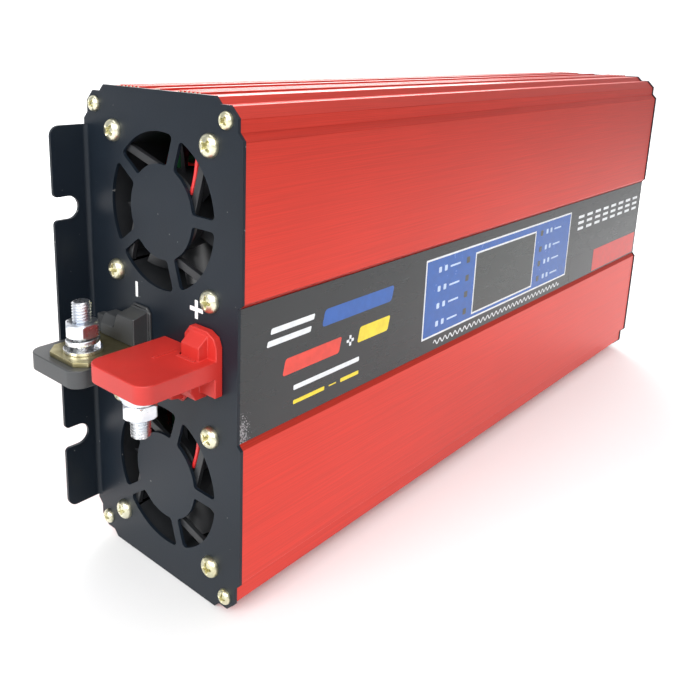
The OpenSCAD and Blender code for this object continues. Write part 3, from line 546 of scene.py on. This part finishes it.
@dataclass
class Shape:
    """Points and faces as numpy arrays, before they become a mesh."""

    points: np.ndarray
    faces: list[np.ndarray] = field(default_factory=list)

    def moved(self, matrix: Matrix) -> "Shape":
        """The shape after a 4 by 4 transform."""
        m = np.array(matrix)
        return Shape(self.points @ m[:3, :3].T + m[:3, 3], self.faces)


def joined(shapes: Sequence[Shape]) -> Shape:
    """Several shapes in one mesh, in order."""
    starts = np.cumsum([0] + [len(shape.points) for shape in shapes])
    faces = [face + start for shape, start in zip(shapes, starts) for face in shape.faces]
    return Shape(np.vstack([shape.points for shape in shapes]), faces)


def grid(points: np.ndarray, wrap_rows: bool = False, wrap_cols: bool = True, caps: bool = False) -> Shape:
    """A surface of quads through a grid of points.

    Args:
        points: array of rows by columns by 3.
        wrap_rows: whether the last row joins the first.
        wrap_cols: whether the last column joins the first.
        caps: whether the first and last rows are closed by one face each.

    Returns:
        The shape.
    """
    rows, cols = points.shape[:2]
    i = np.arange(rows if wrap_rows else rows - 1)[:, None]
    j = np.arange(cols if wrap_cols else cols - 1)[None, :]
    i2, j2 = (i + 1) % rows, (j + 1) % cols
    quads = np.stack([i * cols + j, i * cols + j2, i2 * cols + j2, i2 * cols + j], -1).reshape(-1, 4)
    faces = [quads]
    if caps:
        faces += [np.arange(cols)[None, ::-1], (rows - 1) * cols + np.arange(cols)[None, :]]
    return Shape(points.reshape(-1, 3), faces)


def lathe(profile: np.ndarray, radius: Optional[Callable] = None, columns: int = 64) -> Shape:
    """Turns a profile about Z.

    Args:
        profile: rows of (radius, height), closed at the axis or joined end to start by the caller.
        radius: changes the radius: a function of the grids of radius, height and angle.
        columns: how many steps go round.

    Returns:
        The turned shape: x = r cos a, y = r sin a, z = height.
    """
    angle = np.linspace(0, TURN, columns, endpoint=False)[None, :]
    r = np.repeat(profile[:, :1], columns, 1)
    z = np.repeat(profile[:, 1:2], columns, 1)
    if radius is not None:
        r = radius(r, z, angle)
    closed = bool(np.allclose(profile[0], profile[-1]))
    points = np.stack([r * np.cos(angle), r * np.sin(angle), z + 0 * angle], -1)
    return grid(points[:-1] if closed else points, wrap_rows=closed)


def prism(outline: np.ndarray, low: float, high: float) -> Shape:
    """An outline in X and Y carried from one height to another, closed by a face at each end."""
    ring = np.c_[outline, np.zeros(len(outline))]
    points = np.stack([ring + [0, 0, low], ring + [0, 0, high]])
    return grid(points, caps=True)


def rounded(width: float, height: float, radius: float, centre: Sequence[float] = (0, 0),
            slant: float = 0.0) -> np.ndarray:
    """Outline of a rectangle with round corners.

    Each corner is a quarter circle of six points. A slant shifts each point sideways by its height
    times the slant.

    Args:
        width: size along the first axis.
        height: size along the second axis.
        radius: of the corners.
        centre: middle of the rectangle.
        slant: sideways shift for each unit of height.

    Returns:
        The outline's points.
    """
    arc = np.linspace(0, TURN / 4, 6)
    turns = np.concatenate([arc + k * TURN / 4 for k in range(4)])
    corner_x = np.repeat([1, -1, -1, 1], 6) * (width / 2 - radius)
    corner_y = np.repeat([1, 1, -1, -1], 6) * (height / 2 - radius)
    x = corner_x + radius * np.cos(turns)
    y = corner_y + radius * np.sin(turns)
    return np.c_[x + slant * y + centre[0], y + centre[1]]


def build(name: str, shape: Shape, sharp: float = 35.0) -> bpy.types.Object:
    """Makes a piece from a shape.

    Doubled points are merged, faces turned outward, and edges sharper than an angle marked.

    Args:
        name: the piece's name.
        shape: its points and faces.
        sharp: angle in degrees above which an edge is shaded sharp.

    Returns:
        The object, at the origin.
    """
    mesh = bpy.data.meshes.new(name)
    mesh.from_pydata(shape.points.tolist(), [], [face for block in shape.faces for face in block.tolist()])
    soften_mesh(mesh, sharp, outward=True)
    piece = bpy.data.objects.new(name, mesh)
    bpy.context.scene.collection.objects.link(piece)
    return piece


def soften_mesh(mesh: bpy.types.Mesh, sharp: float, outward: bool, flat: float = 0.0) -> None:
    """Merges a mesh's doubled points and sets which edges are shaded smooth.

    Args:
        mesh: the mesh to change.
        sharp: angle in degrees above which an edge is sharp.
        outward: whether the faces are turned outward again.
        flat: angle in degrees under which neighbouring faces are joined into one, 0 for none.
    """
    work = bmesh.new()
    work.from_mesh(mesh)
    bmesh.ops.remove_doubles(work, verts=work.verts, dist=2e-6)
    if flat:
        bmesh.ops.dissolve_limit(work, angle_limit=math.radians(flat), verts=work.verts, edges=work.edges)
    if outward:
        bmesh.ops.recalc_face_normals(work, faces=work.faces)
    limit = math.radians(sharp)
    for face in work.faces:
        face.smooth = True
    for edge in work.edges:
        edge.smooth = len(edge.link_faces) == 2 and edge.calc_face_angle(0) < limit
    work.to_mesh(mesh)
    work.free()


# ---------------------------------------------------------------- sub-assemblies


@dataclass
class Workshop:
    """What every sub-assembly shares: the finishes, and how a piece joins the model."""

    wardrobe: Wardrobe

    def add(self, piece: bpy.types.Object, slot: str, body: str, nodes: Iterable[str] = (),
            material: Optional[bpy.types.Material] = None) -> bpy.types.Object:
        """Dresses a piece, sets what it rides on, hides the CAD nodes that it stands for, and reports it.

        Args:
            piece: the finished piece.
            slot: the record's material slot.
            body: the CAD body it rides on.
            nodes: CAD nodes that it replaces.
            material: a material in place of the slot's own.

        Returns:
            The piece.
        """
        self.wardrobe.dress(piece, material or self.wardrobe.material(slot))
        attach(piece, body)
        if nodes:
            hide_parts(*nodes)
        LOG.info("%s: %d faces on %s", piece.name, len(piece.data.polygons), body)
        return piece

    def soften(self, node: str, width: float, segments: int = 2, body: str = "case") -> bpy.types.Object:
        """Stands a copy of a CAD node, with rounded edges, in the node's place.

        Args:
            node: the CAD node's name.
            width: of the rounded edge.
            segments: faces across each rounded edge.
            body: the CAD body it rides on.

        Returns:
            The copy.
        """
        mesh = frame["nodes"][node].data.copy()
        mesh.name = node + "_rounded"
        soften_mesh(mesh, 30.0, outward=False, flat=0.4)
        piece = bpy.data.objects.new(node + "_rounded", mesh)
        bpy.context.scene.collection.objects.link(piece)
        bevel = piece.modifiers.new("rounded_edges", "BEVEL")
        bevel.width, bevel.segments = width, segments
        bevel.limit_method, bevel.angle_limit = "ANGLE", math.radians(30)
        bevel.use_clamp_overlap = False
        bevel.harden_normals = True
        return self.add(piece, self.wardrobe.slot_of[node], body, [node])


@dataclass
class Case:
    """The two extruded shells. The punched end plates keep their crisp edges."""

    shop: Workshop
    edge: float = 0.22 * MM

    def build(self) -> None:
        """Rounds the edges of the shells."""
        for node in ("front_shell", "rear_shell"):
            self.shop.soften(node, self.edge)


@dataclass
class PanHead:
    """A pan-head screw with a cross recess, drawn with its head towards +Z and its seat at the origin."""

    radius: float
    height: float
    shank: float
    length: float
    rings: int = 34
    columns: int = 120

    def shape(self) -> Shape:
        """Head and shank as one turned surface.

        The head's height is a superellipse of the radius. The recess takes away, for each of two
        arms, a depth that falls off along the arm and, steeply, across it.

        Returns:
            The shape.
        """
        spread = np.linspace(0, 1, self.rings) ** 0.9
        top = self.height * (1 - spread**3.2) ** 0.42
        head = np.c_[spread * self.radius, np.maximum(top, 0.12 * self.height)]
        under = np.array([[self.radius, 0], [self.shank, 0], [self.shank, -self.length], [0, -self.length]])
        profile = np.vstack([head, under])
        angle = np.linspace(0, TURN, self.columns, endpoint=False)[None, :]
        r = profile[:, :1] + 0 * angle
        z = profile[:, 1:] + 0 * angle
        across, along = r * np.sin(angle), r * np.cos(angle)
        reach, half = 0.62 * self.radius, 0.15 * self.radius
        pit = np.zeros_like(r)
        for a, b in ((along, across), (across, along)):
            width = half * (1.25 - 0.45 * np.abs(a) / reach)
            wall = np.clip((width - np.abs(b)) / (0.06 * self.radius), 0, 1)
            pit = np.maximum(pit, wall * np.clip((reach - np.abs(a)) / (0.45 * reach), 0, 1))
        z[: self.rings] -= pit[: self.rings] * 0.8 * self.height
        return grid(np.stack([r * np.cos(angle), r * np.sin(angle), z], -1))


class Facing(Enum):
    """The way a screw's head looks."""

    BATTERY_END = -1
    MAINS_END = 1

    def matrix(self, place: Sequence[float], turn: float) -> Matrix:
        """Turns +Z to this end, after a turn of the screw about its own axis."""
        tilt = Matrix.Rotation(self.value * TURN / 4, 4, "Y")
        return Matrix.Translation(place) @ tilt @ Matrix.Rotation(turn, 4, "Z")


@dataclass
class Screws:
    """The screws of both end plates and of the fans."""

    shop: Workshop
    turn_step: float = 0.83

    def heads(self, name: str, node: str, screw: PanHead, seats: Sequence[tuple[Vector, Facing]]) -> None:
        """Joins equal screws into one piece.

        Args:
            name: the piece's name.
            node: the CAD node that they stand for.
            screw: the screw.
            seats: the place of each seat and the way it faces.
        """
        shapes = [screw.shape().moved(facing.matrix(place, index * self.turn_step))
                  for index, (place, facing) in enumerate(seats)]
        self.shop.add(build(name, joined(shapes)), "yellow_zinc", "case", [node])

    def build(self) -> None:
        """Places every screw from the boxes of the nodes that it holds."""
        low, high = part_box("plate_screws")
        reach = 3.4 * MM
        inset = 5 * MM
        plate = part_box("front_shell")[1].x + PLATE
        corners = [(y, z) for y in (low.y + reach, high.y - reach) for z in (low.z + reach, high.z - reach)]
        seats = [(Vector((way.value * plate, y, z)), way) for way in Facing for y, z in corners]
        plate_screw = PanHead(3.4 * MM, 2.2 * MM, 1.4 * MM, 11 * MM)
        self.heads("plate_screw_heads", "plate_screws", plate_screw, seats)
        seats = []
        for fan in ("fan_frame_upper", "fan_frame_lower"):
            low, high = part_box(fan)
            corners = [(y, z) for y in (low.y + inset, high.y - inset)
                       for z in (low.z + inset, high.z - inset)]
            seats += [(Vector((-plate, y, z)), Facing.BATTERY_END) for y, z in corners]
        fan_screw = PanHead(4.7 * MM, 3.0 * MM, 1.9 * MM, 11 * MM)
        self.heads("fan_screw_heads", "fan_screws", fan_screw, seats)


@dataclass
class Hardware:
    """Studs, washers and nuts of the two terminals.

    Heights are along the stud, from the tongue's mating face, as in the CAD.
    """

    shop: Workshop
    thread_r: float = 3.98 * MM
    pitch: float = 1.25 * MM
    flats: float = 13.0 * MM
    columns: int = 96

    def thread(self, low: float, high: float) -> Shape:
        """A threaded rod.

        The radius falls from crest to root as a rounded triangle wave of height minus turn, and a
        cone cuts the crest off at the free end.

        Args:
            low: height of the lower end.
            high: height of the free end.

        Returns:
            The rod, closed at both ends.
        """
        z = np.linspace(low, high, int((high - low) / self.pitch * 12) + 1)
        depth = 0.56 * self.pitch
        profile = np.vstack([[0, low], np.c_[np.full_like(z, self.thread_r), z], [0, high]])

        def cut(r: np.ndarray, height: np.ndarray, angle: np.ndarray) -> np.ndarray:
            """Radius at each height and angle."""
            wave = np.abs((height / self.pitch - angle / TURN) % 1 - 0.5) * 2
            groove = np.clip(wave * 1.35 - 0.18, 0, 1)
            chamfer = self.thread_r - 0.75 * MM + (high - height) * 1.1
            return np.where(r > 0, np.minimum(r - depth * groove, chamfer), 0)

        return lathe(profile, cut, self.columns)

    def hexagon(self, low: float, high: float, bore: float, turn: float) -> Shape:
        """A nut or a bolt's head.

        The radius is the smaller of the hexagon's and of a cone at each face. A nut's bore has a
        small countersink.

        Args:
            low: height of one face.
            high: height of the other.
            bore: radius of its hole, 0 for a head.
            turn: angle of one corner.

        Returns:
            The shape.
        """
        wall = np.linspace(low, high, 15)
        face = self.flats / 2 * 0.93
        inner = [[bore, low + 0.5 * MM], [bore, high - 0.5 * MM]] if bore else []
        mouth = bore + 0.45 * MM if bore else 0.0
        rows = [[mouth, low], [face, low], *[[self.flats, z] for z in wall],
                [face, high], [mouth, high], *inner[::-1]]
        if bore:
            rows.append(rows[0])

        def six(r: np.ndarray, height: np.ndarray, angle: np.ndarray) -> np.ndarray:
            """Radius at each height and angle."""
            side = (angle - turn) % (TURN / 6) - TURN / 12
            hexagon = self.flats / 2 / np.cos(side)
            edge = np.minimum(height - low, high - height)
            return np.where(r >= self.flats, np.minimum(hexagon, face + edge * 1.9), r)

        return lathe(np.array(rows), six, self.columns)

    def washer(self, low: float, high: float, bore: float, outer: float) -> Shape:
        """A flat ring with small rounds on its edges."""
        b = 0.2 * MM
        rows = [[bore, low + b], [bore + b, low], [outer - b, low], [outer, low + b], [outer, high - b],
                [outer - b, high], [bore + b, high], [bore, high - b], [bore, low + b]]
        return lathe(np.array(rows), None, self.columns)

    def spring(self, low: float, high: float, bore: float, outer: float, gap: float, rise: float) -> Shape:
        """A split ring whose ends stand apart by a rise.

        A rounded rectangle is carried along an arc that climbs evenly from one end to the other.

        Args:
            low: lowest height.
            high: highest height.
            bore: inner radius.
            outer: outer radius.
            gap: angle of the split.
            rise: height between the two ends.

        Returns:
            The ring, closed at both ends.
        """
        section = rounded(outer - bore, high - low - rise, 0.3 * MM)
        angle = np.linspace(gap / 2, TURN - gap / 2, 80)[:, None]
        climb = (angle - angle[0]) / (angle[-1] - angle[0]) * rise
        r = (bore + outer) / 2 + section[None, :, 0]
        z = (low + high - rise) / 2 + section[None, :, 1] + climb
        turned = angle - TURN / 12
        return grid(np.stack([r * np.cos(turned), r * np.sin(turned), z], -1), caps=True)

    def build(self) -> None:
        """Places each stud's hardware, the right way up for its terminal."""
        nut_low, nut_high, free_end = 8.02 * MM, 14.38 * MM, 22.98 * MM
        for sign, tag, seat, turn in ((1, "negative", 1.7 * MM, -0.03), (-1, "positive", 4.4 * MM, 0.1)):
            low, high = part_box("terminal_stud_" + tag)
            base = (low.z + 5.9 * MM) if sign > 0 else (high.z - 5.9 * MM)
            middle = (low + high) / 2
            place = Matrix.Translation((middle.x, middle.y, base))
            if sign < 0:
                place = place @ Matrix.Rotation(math.pi, 4, "X")
            stud = joined([self.thread(-0.6 * MM, free_end), self.hexagon(-5.88 * MM, -0.42 * MM, 0.0, 0.0)])
            stud = build("stud_" + tag, stud.moved(place))
            self.shop.add(stud, "bright_zinc", "case", ["terminal_stud_" + tag])
            nut = self.hexagon(nut_low, nut_high, self.thread_r - 0.5 * MM, turn)
            flat = self.washer(seat + 0.02 * MM, seat + 1.58 * MM, 4.2 * MM, 8 * MM)
            top = nut_low - 0.04 * MM
            room = nut_low - seat - 1.64 * MM
            rise = max(room - 2.1 * MM, 0.3 * MM)
            split = self.spring(top - room, top, 4.15 * MM, 6.95 * MM, 0.16, rise)
            for part, shape in (("nut", nut), ("flat_washer", flat), ("spring_washer", split)):
                piece = build(f"{part}_{tag}", shape.moved(place), 40.0)
                owned = [f"terminal_{part}s"] if sign > 0 else []
                self.shop.add(piece, "bright_zinc", "case", owned)


@dataclass
class Terminals:
    """The two moulded insulators and their bars."""

    shop: Workshop

    def build(self) -> None:
        """Rounds the moulded edges, and the bars' a little less."""
        for tag in ("negative", "positive"):
            self.shop.soften("terminal_insulator_" + tag, 0.45 * MM, 3)
            self.shop.soften("terminal_bar_" + tag, 0.18 * MM)


@dataclass
class Fans:
    """Frames, rotors with twisted blades, and leads."""

    shop: Workshop
    hub_r: float = 16.6 * MM
    tip_r: float = 31.2 * MM
    blades: int = 7

    def blade(self) -> Shape:
        """One blade, with its root on the hub along +Z.

        Across the chord the blade is a shallow arc; along the span its pitch falls from 48 to 34
        degrees and its chord widens. The section is a lens with a rounded edge.

        Returns:
            The closed blade.
        """
        span = np.linspace(0, 1, 16)[:, None]
        loop = np.linspace(0, TURN, 28, endpoint=False)[None, :]
        chord = (15 + 3.0 * span) * MM
        pitch = np.radians(48 - 12 * span)
        s = np.cos(loop) * chord / 2
        thick = np.sin(loop) * 0.75 * MM * np.sqrt(np.clip(1 - (np.cos(loop) * 0.96) ** 2, 0, 1) + 0.05)
        camber = 1.6 * MM * (1 - np.cos(loop) ** 2)
        bow = thick + camber
        x = 12.4 * MM + s * np.cos(pitch) - bow * np.sin(pitch)
        y = s * np.sin(pitch) + bow * np.cos(pitch)
        radius = self.hub_r - 0.8 * MM + (self.tip_r - self.hub_r + 0.5 * MM) * span
        z = np.sqrt(np.maximum(radius**2 - y**2, 1e-8))
        return grid(np.stack([x, y, z], -1), caps=True)

    def rotor(self, node: str) -> None:
        """A turned cup with its blades.

        Args:
            node: CAD node and body of the rotor.
        """
        lower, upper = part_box(node.replace("rotor", "frame"))
        axis = (lower + upper) / 2
        cup = np.array([[0, 20.4], [15, 20.4], [15, 3.4], [15.9, 3.4],
                        [16.6, 4.1], [16.6, 21.2], [15.8, 22.0], [0, 22.0]]) * MM
        shaft = np.array([[0, 1.65], [1.5, 1.65], [1.5, 20.6], [0, 20.6]]) * MM
        turned = joined([lathe(cup), lathe(shaft)]).moved(Matrix.Rotation(TURN / 4, 4, "Y"))
        blades = [self.blade().moved(Matrix.Rotation(k * TURN / self.blades, 4, "X"))
                  for k in range(self.blades)]
        wheel = joined([turned, *blades]).moved(Matrix.Translation((lower.x, axis.y, axis.z)))
        self.shop.add(build(node + "_wheel", wheel), "fan_black", node, [node])

    def lead(self) -> None:
        """Two insulated leads, each a round tube along the frame's smoothed route."""
        route = np.array([[1.7, -15.7, 9.4], [1.7, -16.1, 11], [1.7, -18, 17], [1.7, -19.5, 25],
                          [1.7, -20.5, 31], [1.9, -20.5, 35], [4, -20.5, 37], [8, -20.5, 37.4],
                          [16, -20.5, 37.4], [24, -20, 37.4], [30, -16, 36], [34, -8, 31], [37, 2, 24],
                          [38, 12, 17], [38, 20, 13], [38, 25, 12], [38, 29.7, 12]]) * MM
        tubes = []
        for name in ("fan_frame_upper", "fan_frame_lower"):
            low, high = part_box(name)
            middle = (low + high) / 2
            tubes.append(self.tube(route + [low.x, middle.y, middle.z], 0.88 * MM))
        self.shop.add(build("fan_lead_tubes", joined(tubes), 60.0), "red_lead", "case", ["fan_leads"])

    def tube(self, route: np.ndarray, radius: float) -> Shape:
        """A round tube along a route.

        Between its points the route is a Catmull-Rom curve. Each ring lies square to the curve, in
        the plane of two vectors made with one fixed direction.

        Args:
            route: points of the centreline.
            radius: of the tube.

        Returns:
            The closed tube.
        """
        padded = np.vstack([route[:1], route, route[-1:]])
        t = np.linspace(0, 1, 6, endpoint=False)[None, :, None]
        a, b, c, d = (padded[k: len(padded) - 3 + k][:, None] for k in range(4))
        bend = (2 * a - 5 * b + 4 * c - d) * t**2 + (3 * b - a - 3 * c + d) * t**3
        curve = 0.5 * (2 * b + (c - a) * t + bend)
        line = np.vstack([curve.reshape(-1, 3), route[-1:]])
        tangent = np.gradient(line, axis=0)
        tangent /= np.linalg.norm(tangent, axis=1)[:, None]
        u = np.cross(tangent, [0.5, 0.6, 0.62])
        u /= np.linalg.norm(u, axis=1)[:, None]
        v = np.cross(tangent, u)
        angle = np.linspace(0, TURN, 16, endpoint=False)[None, :, None]
        points = line[:, None] + radius * (np.cos(angle) * u[:, None] + np.sin(angle) * v[:, None])
        return grid(points, caps=True)

    def build(self) -> None:
        """Rounds the frames, and builds rotors and leads."""
        for tag in ("upper", "lower"):
            self.shop.soften("fan_frame_" + tag, 0.3 * MM)
            self.rotor("fan_rotor_" + tag)
        self.lead()


def middle_height() -> float:
    """Height of the middle of the battery end plate."""
    low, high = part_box("dc_end_plate")
    return (low.z + high.z) / 2


@dataclass
class Label:
    """What is printed on the label: a blue display field, plain bars and a wave, and no lettering."""

    shop: Workshop
    film: float = 0.03 * MM

    def __post_init__(self) -> None:
        """Finds the label's face and middle."""
        self.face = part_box("label_overlay")[0].y
        self.middle = middle_height()

    def printed(self, name: str, outlines: Sequence[np.ndarray], layer: int, ink: Ink) -> None:
        """Prints outlines as thin closed films on the label.

        Args:
            name: the piece's name.
            outlines: outlines in millimetres, along the case and up from its middle.
            layer: 1 for ink on the label, more for ink on ink.
            ink: its finish.
        """
        films = [prism(outline * MM, (layer - 1) * self.film, layer * self.film) for outline in outlines]
        stand = Matrix.Translation((0, self.face, self.middle)) @ Matrix.Rotation(TURN / 4, 4, "X")
        self.shop.add(build(name, joined(films).moved(stand)), "label_film", "case", material=ink.make())

    def bar(self, x0: float, x1: float, z0: float, z1: float, r: float = 0.3,
            slant: float = 0.0) -> np.ndarray:
        """A rounded bar between two corners."""
        return rounded(x1 - x0, z1 - z0, r, ((x0 + x1) / 2, (z0 + z1) / 2), slant)

    def around(self, outer: Sequence[float], inner: Sequence[float]) -> list[np.ndarray]:
        """Four bars that fill the space between two upright rectangles.

        Args:
            outer: left, right, low and high edge of the larger rectangle.
            inner: the same of the smaller one.

        Returns:
            The outlines of the bars.
        """
        x0, x1, z0, z1 = outer
        a0, a1, c0, c1 = inner
        r = 0.02
        return [self.bar(x0, x1, c1, z1, r), self.bar(x0, x1, z0, c0, r),
                self.bar(x0, a0, c0, c1, r), self.bar(a1, x1, c0, c1, r)]

    def border(self, box: Sequence[float], w: float) -> list[np.ndarray]:
        """Four bars of one width inside a rectangle's edge."""
        x0, x1, z0, z1 = box
        return self.around(box, (x0 + w, x1 - w, z0 + w, z1 - w))

    def wave(self, x0: float, x1: float, z: float, height: float, period: float, w: float) -> np.ndarray:
        """A sine line as a closed outline: the curve shifted up, then back shifted down."""
        x = np.linspace(x0, x1, int((x1 - x0) / period * 20))
        y = z + height * np.sin(TURN * (x - x0) / period)
        slope = height * TURN / period * np.cos(TURN * (x - x0) / period)
        normal = np.c_[-slope, np.ones_like(x)] / np.sqrt(1 + slope**2)[:, None] * w / 2
        line = np.c_[x, y]
        return np.vstack([line + normal, (line - normal)[::-1]])

    def build(self) -> None:
        """Prints the fields from the lowest layer up."""
        white, blue = (0.74, 0.76, 0.78), (0.02, 0.1, 0.38)
        low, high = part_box("display_window")
        w, overlap = 1.0, 0.8
        field_box = (-84.5, 85.5, -19.0, 23.4)
        window = (-35.0 - w, 35.0 + w, (low.z - self.middle) / MM - w + overlap,
                  (high.z - self.middle) / MM + w - overlap)
        self.printed("print_blue_field", self.around(field_box, window), 1, Ink("blue_ink", blue, 0.24))
        white_bars = self.border(field_box, w) + self.border(window, w)
        lamps, captions = [], []
        for z in (-12.7, -3.0, 6.2, 16.3):
            for side in (-1, 1):
                x = side * 43.7
                lamps.append(self.bar(x - 1.7, x + 1.7, z - 1.7, z + 1.7, 0.5))
                start = -72.5 if side < 0 else 50.0
                captions += [self.bar(start, start + 2.6, z - 1.5, z + 1.5, 0.6),
                             self.bar(start + 5.5, start + 8.1, z - 1.5, z + 1.5, 0.6),
                             self.bar(start + 11, start + 21, z - 0.5, z + 0.5, 0.4)]
        self.printed("print_white_lines", white_bars, 2, Ink("white_ink", white))
        self.printed("print_captions", captions, 2, Ink("pale_blue_ink", (0.5, 0.62, 0.82)))
        self.printed("print_lamp_windows", lamps, 2, Ink("lamp_window_ink", (0.05, 0.055, 0.05), 0.2))
        marks = [self.bar(-196, -170, 9.5, 12, 0.6, 0.25), self.bar(-194, -168, 14.5, 17, 0.6, 0.25),
                 self.bar(-145.5, -140.5, -2.6, -1.2, 0.2), self.bar(-143.7, -142.3, -4.4, 0.6, 0.2),
                 self.bar(-180, -136, -13.8, -11.6, 0.5)]
        yellow = [self.bar(-137, -114, -4.6, 2.6, 1.2, 0.25), self.bar(-180, -160, -20.2, -18.4, 0.4),
                  self.bar(-157, -152, -19.6, -19.0, 0.2), self.bar(-149, -136, -20.2, -18.4, 0.4)]
        tiles = [self.bar(98 + 14 * k, 107 + 14 * k, z, z + 1.9, 0.4)
                 for k in range(8) for z in (9.0, 13.0, 17.0)]
        prints = (
            ("wave_line", [self.wave(-73, 77, -22.9, 1.15, 5.0, 0.75)], Ink("wave_ink", white)),
            ("plain_bars", marks, Ink("bar_ink", white)),
            ("blue_bar", [self.bar(-162, -112, 9.5, 17, 1.6, 0.25)], Ink("bar_blue_ink", blue)),
            ("red_bar", [self.bar(-186, -150, -5.6, 1.6, 1.2, 0.25)], Ink("bar_red_ink", (0.7, 0.05, 0.03))),
            ("yellow_bars", yellow, Ink("yellow_ink", (0.8, 0.62, 0.03))),
            ("dark_field", [self.bar(92, 129, -25.5, -9, 3.0)],
             Ink("black_ink", (0.012, 0.012, 0.013), 0.18)),
            ("red_field", [self.bar(131, 209.5, -25.8, -10, 0.6)], Ink("red_ink", (0.62, 0.03, 0.02))),
            ("tiles", tiles, Ink("tile_ink", white)),
        )
        for name, outlines, ink in prints:
            self.printed("print_" + name, outlines, 1, ink)


@dataclass
class PolarityMarks:
    """Plus and minus, printed on the battery end plate."""

    shop: Workshop

    def build(self) -> None:
        """Lays thin films on the plate's outer face."""
        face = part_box("front_shell")[0].x - PLATE
        bars = [rounded(1.6, 6.8, 0.3, (14.7, 22.7)), rounded(1.8, 7.8, 0.3, (-23.9, 23.4)),
                rounded(3.0, 1.8, 0.3, (-26.3, 23.4)), rounded(3.0, 1.8, 0.3, (-21.5, 23.4))]
        films = joined([prism(bar * MM, 0, 0.04 * MM) for bar in bars])
        points = films.points
        films.points = np.c_[face - points[:, 2], points[:, 0], middle_height() + points[:, 1]]
        ink = Ink("polarity_ink", (0.8, 0.8, 0.8)).make()
        self.shop.add(build("polarity_marks", films), "black_plate", "case", material=ink)


@dataclass
class MainsEnd:
    """Fittings of the far end: outlets, inlet, switch, breaker and earth stud."""

    shop: Workshop

    def build(self) -> None:
        """Rounds each fitting's edges."""
        for node in ("outlet_lower", "outlet_upper", "charger_inlet", "switch_housing", "breaker_body"):
            self.shop.soften(node, 0.35 * MM)
        self.shop.soften("power_rocker", 0.4 * MM, 3, "power_rocker")
        self.shop.soften("reset_button", 0.35 * MM, 3, "reset_button")
        for node in ("earth_nut", "display_window"):
            self.shop.soften(node, 0.15 * MM)


class Studio:
    """Pale floor, soft lights and the camera."""

    def floor(self) -> None:
        """A sheet that rises behind the object: flat, a quarter turn, then upright."""
        bend = 1.2
        arc = np.linspace(0, TURN / 4, 24)
        run = np.concatenate([[-6.0], bend * np.sin(arc) + 1.8, [1.8 + bend]])
        rise = np.concatenate([[0.0], bend * (1 - np.cos(arc)), [6.0]])
        side = np.linspace(-8, 8, 9)
        direction = np.array([0.7255, 0.6418])
        across = np.array([-direction[1], direction[0]])
        xy = run[:, None, None] * direction + side[None, :, None] * across
        points = np.concatenate([xy, np.repeat(rise[:, None, None], len(side), 1)], -1)
        piece = build("studio_paper", grid(points, wrap_cols=False), 80.0)
        piece.data.materials.append(StudioFloor("studio_paper", (0.86, 0.86, 0.86)).make())

    def light(self, name: str, place: Sequence[float], aim: Sequence[float], size: float,
              power: float) -> None:
        """A square soft light.

        Args:
            name: its name.
            place: where it hangs.
            aim: the point that it faces.
            size: its side.
            power: watts.
        """
        lamp = bpy.data.lights.new(name, "AREA")
        lamp.energy, lamp.size = power, size
        holder = bpy.data.objects.new(name, lamp)
        holder.location = place
        holder.rotation_euler = (Vector(aim) - Vector(place)).to_track_quat("-Z", "Y").to_euler()
        bpy.context.scene.collection.objects.link(holder)

    def camera(self) -> None:
        """A normal lens at the height of a standing eye over a table, looking at the battery end."""
        data = bpy.data.cameras.new("camera")
        data.sensor_width, data.lens = 36.0, 40.33
        data.shift_x, data.shift_y = 0.0663, -0.1582
        data.clip_start, data.clip_end = 0.01, 50
        holder = bpy.data.objects.new("camera", data)
        right = Vector((0.66771, -0.74388, 0.02821))
        down = Vector((-0.16659, -0.18625, -0.96828))
        ahead = Vector((0.72554, 0.64183, -0.24828))
        turn = Matrix((right, -down, -ahead)).transposed().to_4x4()
        holder.matrix_world = Matrix.Translation((-0.4028, -0.2478, 0.2353)) @ turn
        bpy.context.scene.collection.objects.link(holder)
        bpy.context.scene.camera = holder

    def build(self) -> None:
        """Sets up everything round the object."""
        self.camera()
        self.floor()
        world = bpy.data.worlds.new("studio")
        world.use_nodes = True
        background = world.node_tree.nodes["Background"]
        background.inputs[0].default_value = (0.96, 0.98, 1.0, 1.0)
        background.inputs[1].default_value = 0.36
        bpy.context.scene.world = world
        self.light("key", (-0.85, -0.95, 1.0), (-0.2, 0, 0.1), 1.0, 18)
        self.light("fill", (-1.6, 0.0, 0.8), (-0.2, 0, 0.1), 0.9, 18)
        self.light("top", (0.1, 0.1, 1.7), (0, 0, 0.1), 1.2, 10)
        self.light("rim", (1.2, 1.1, 0.95), (0, 0, 0.2), 1.0, 16)
        bpy.context.scene.view_settings.view_transform = "Standard"


def main() -> None:
    """Builds the studio and every sub-assembly, in order."""
    logging.basicConfig(level=logging.INFO, format="%(name)s: %(message)s")
    wardrobe = Wardrobe(FINISHES)
    shop = Workshop(wardrobe)
    Studio().build()
    wardrobe.dress_nodes()
    for part in (Case, Screws, Terminals, Hardware, Fans, Label, PolarityMarks, MainsEnd):
        part(shop).build()


if __name__ == "__main__":
    main()
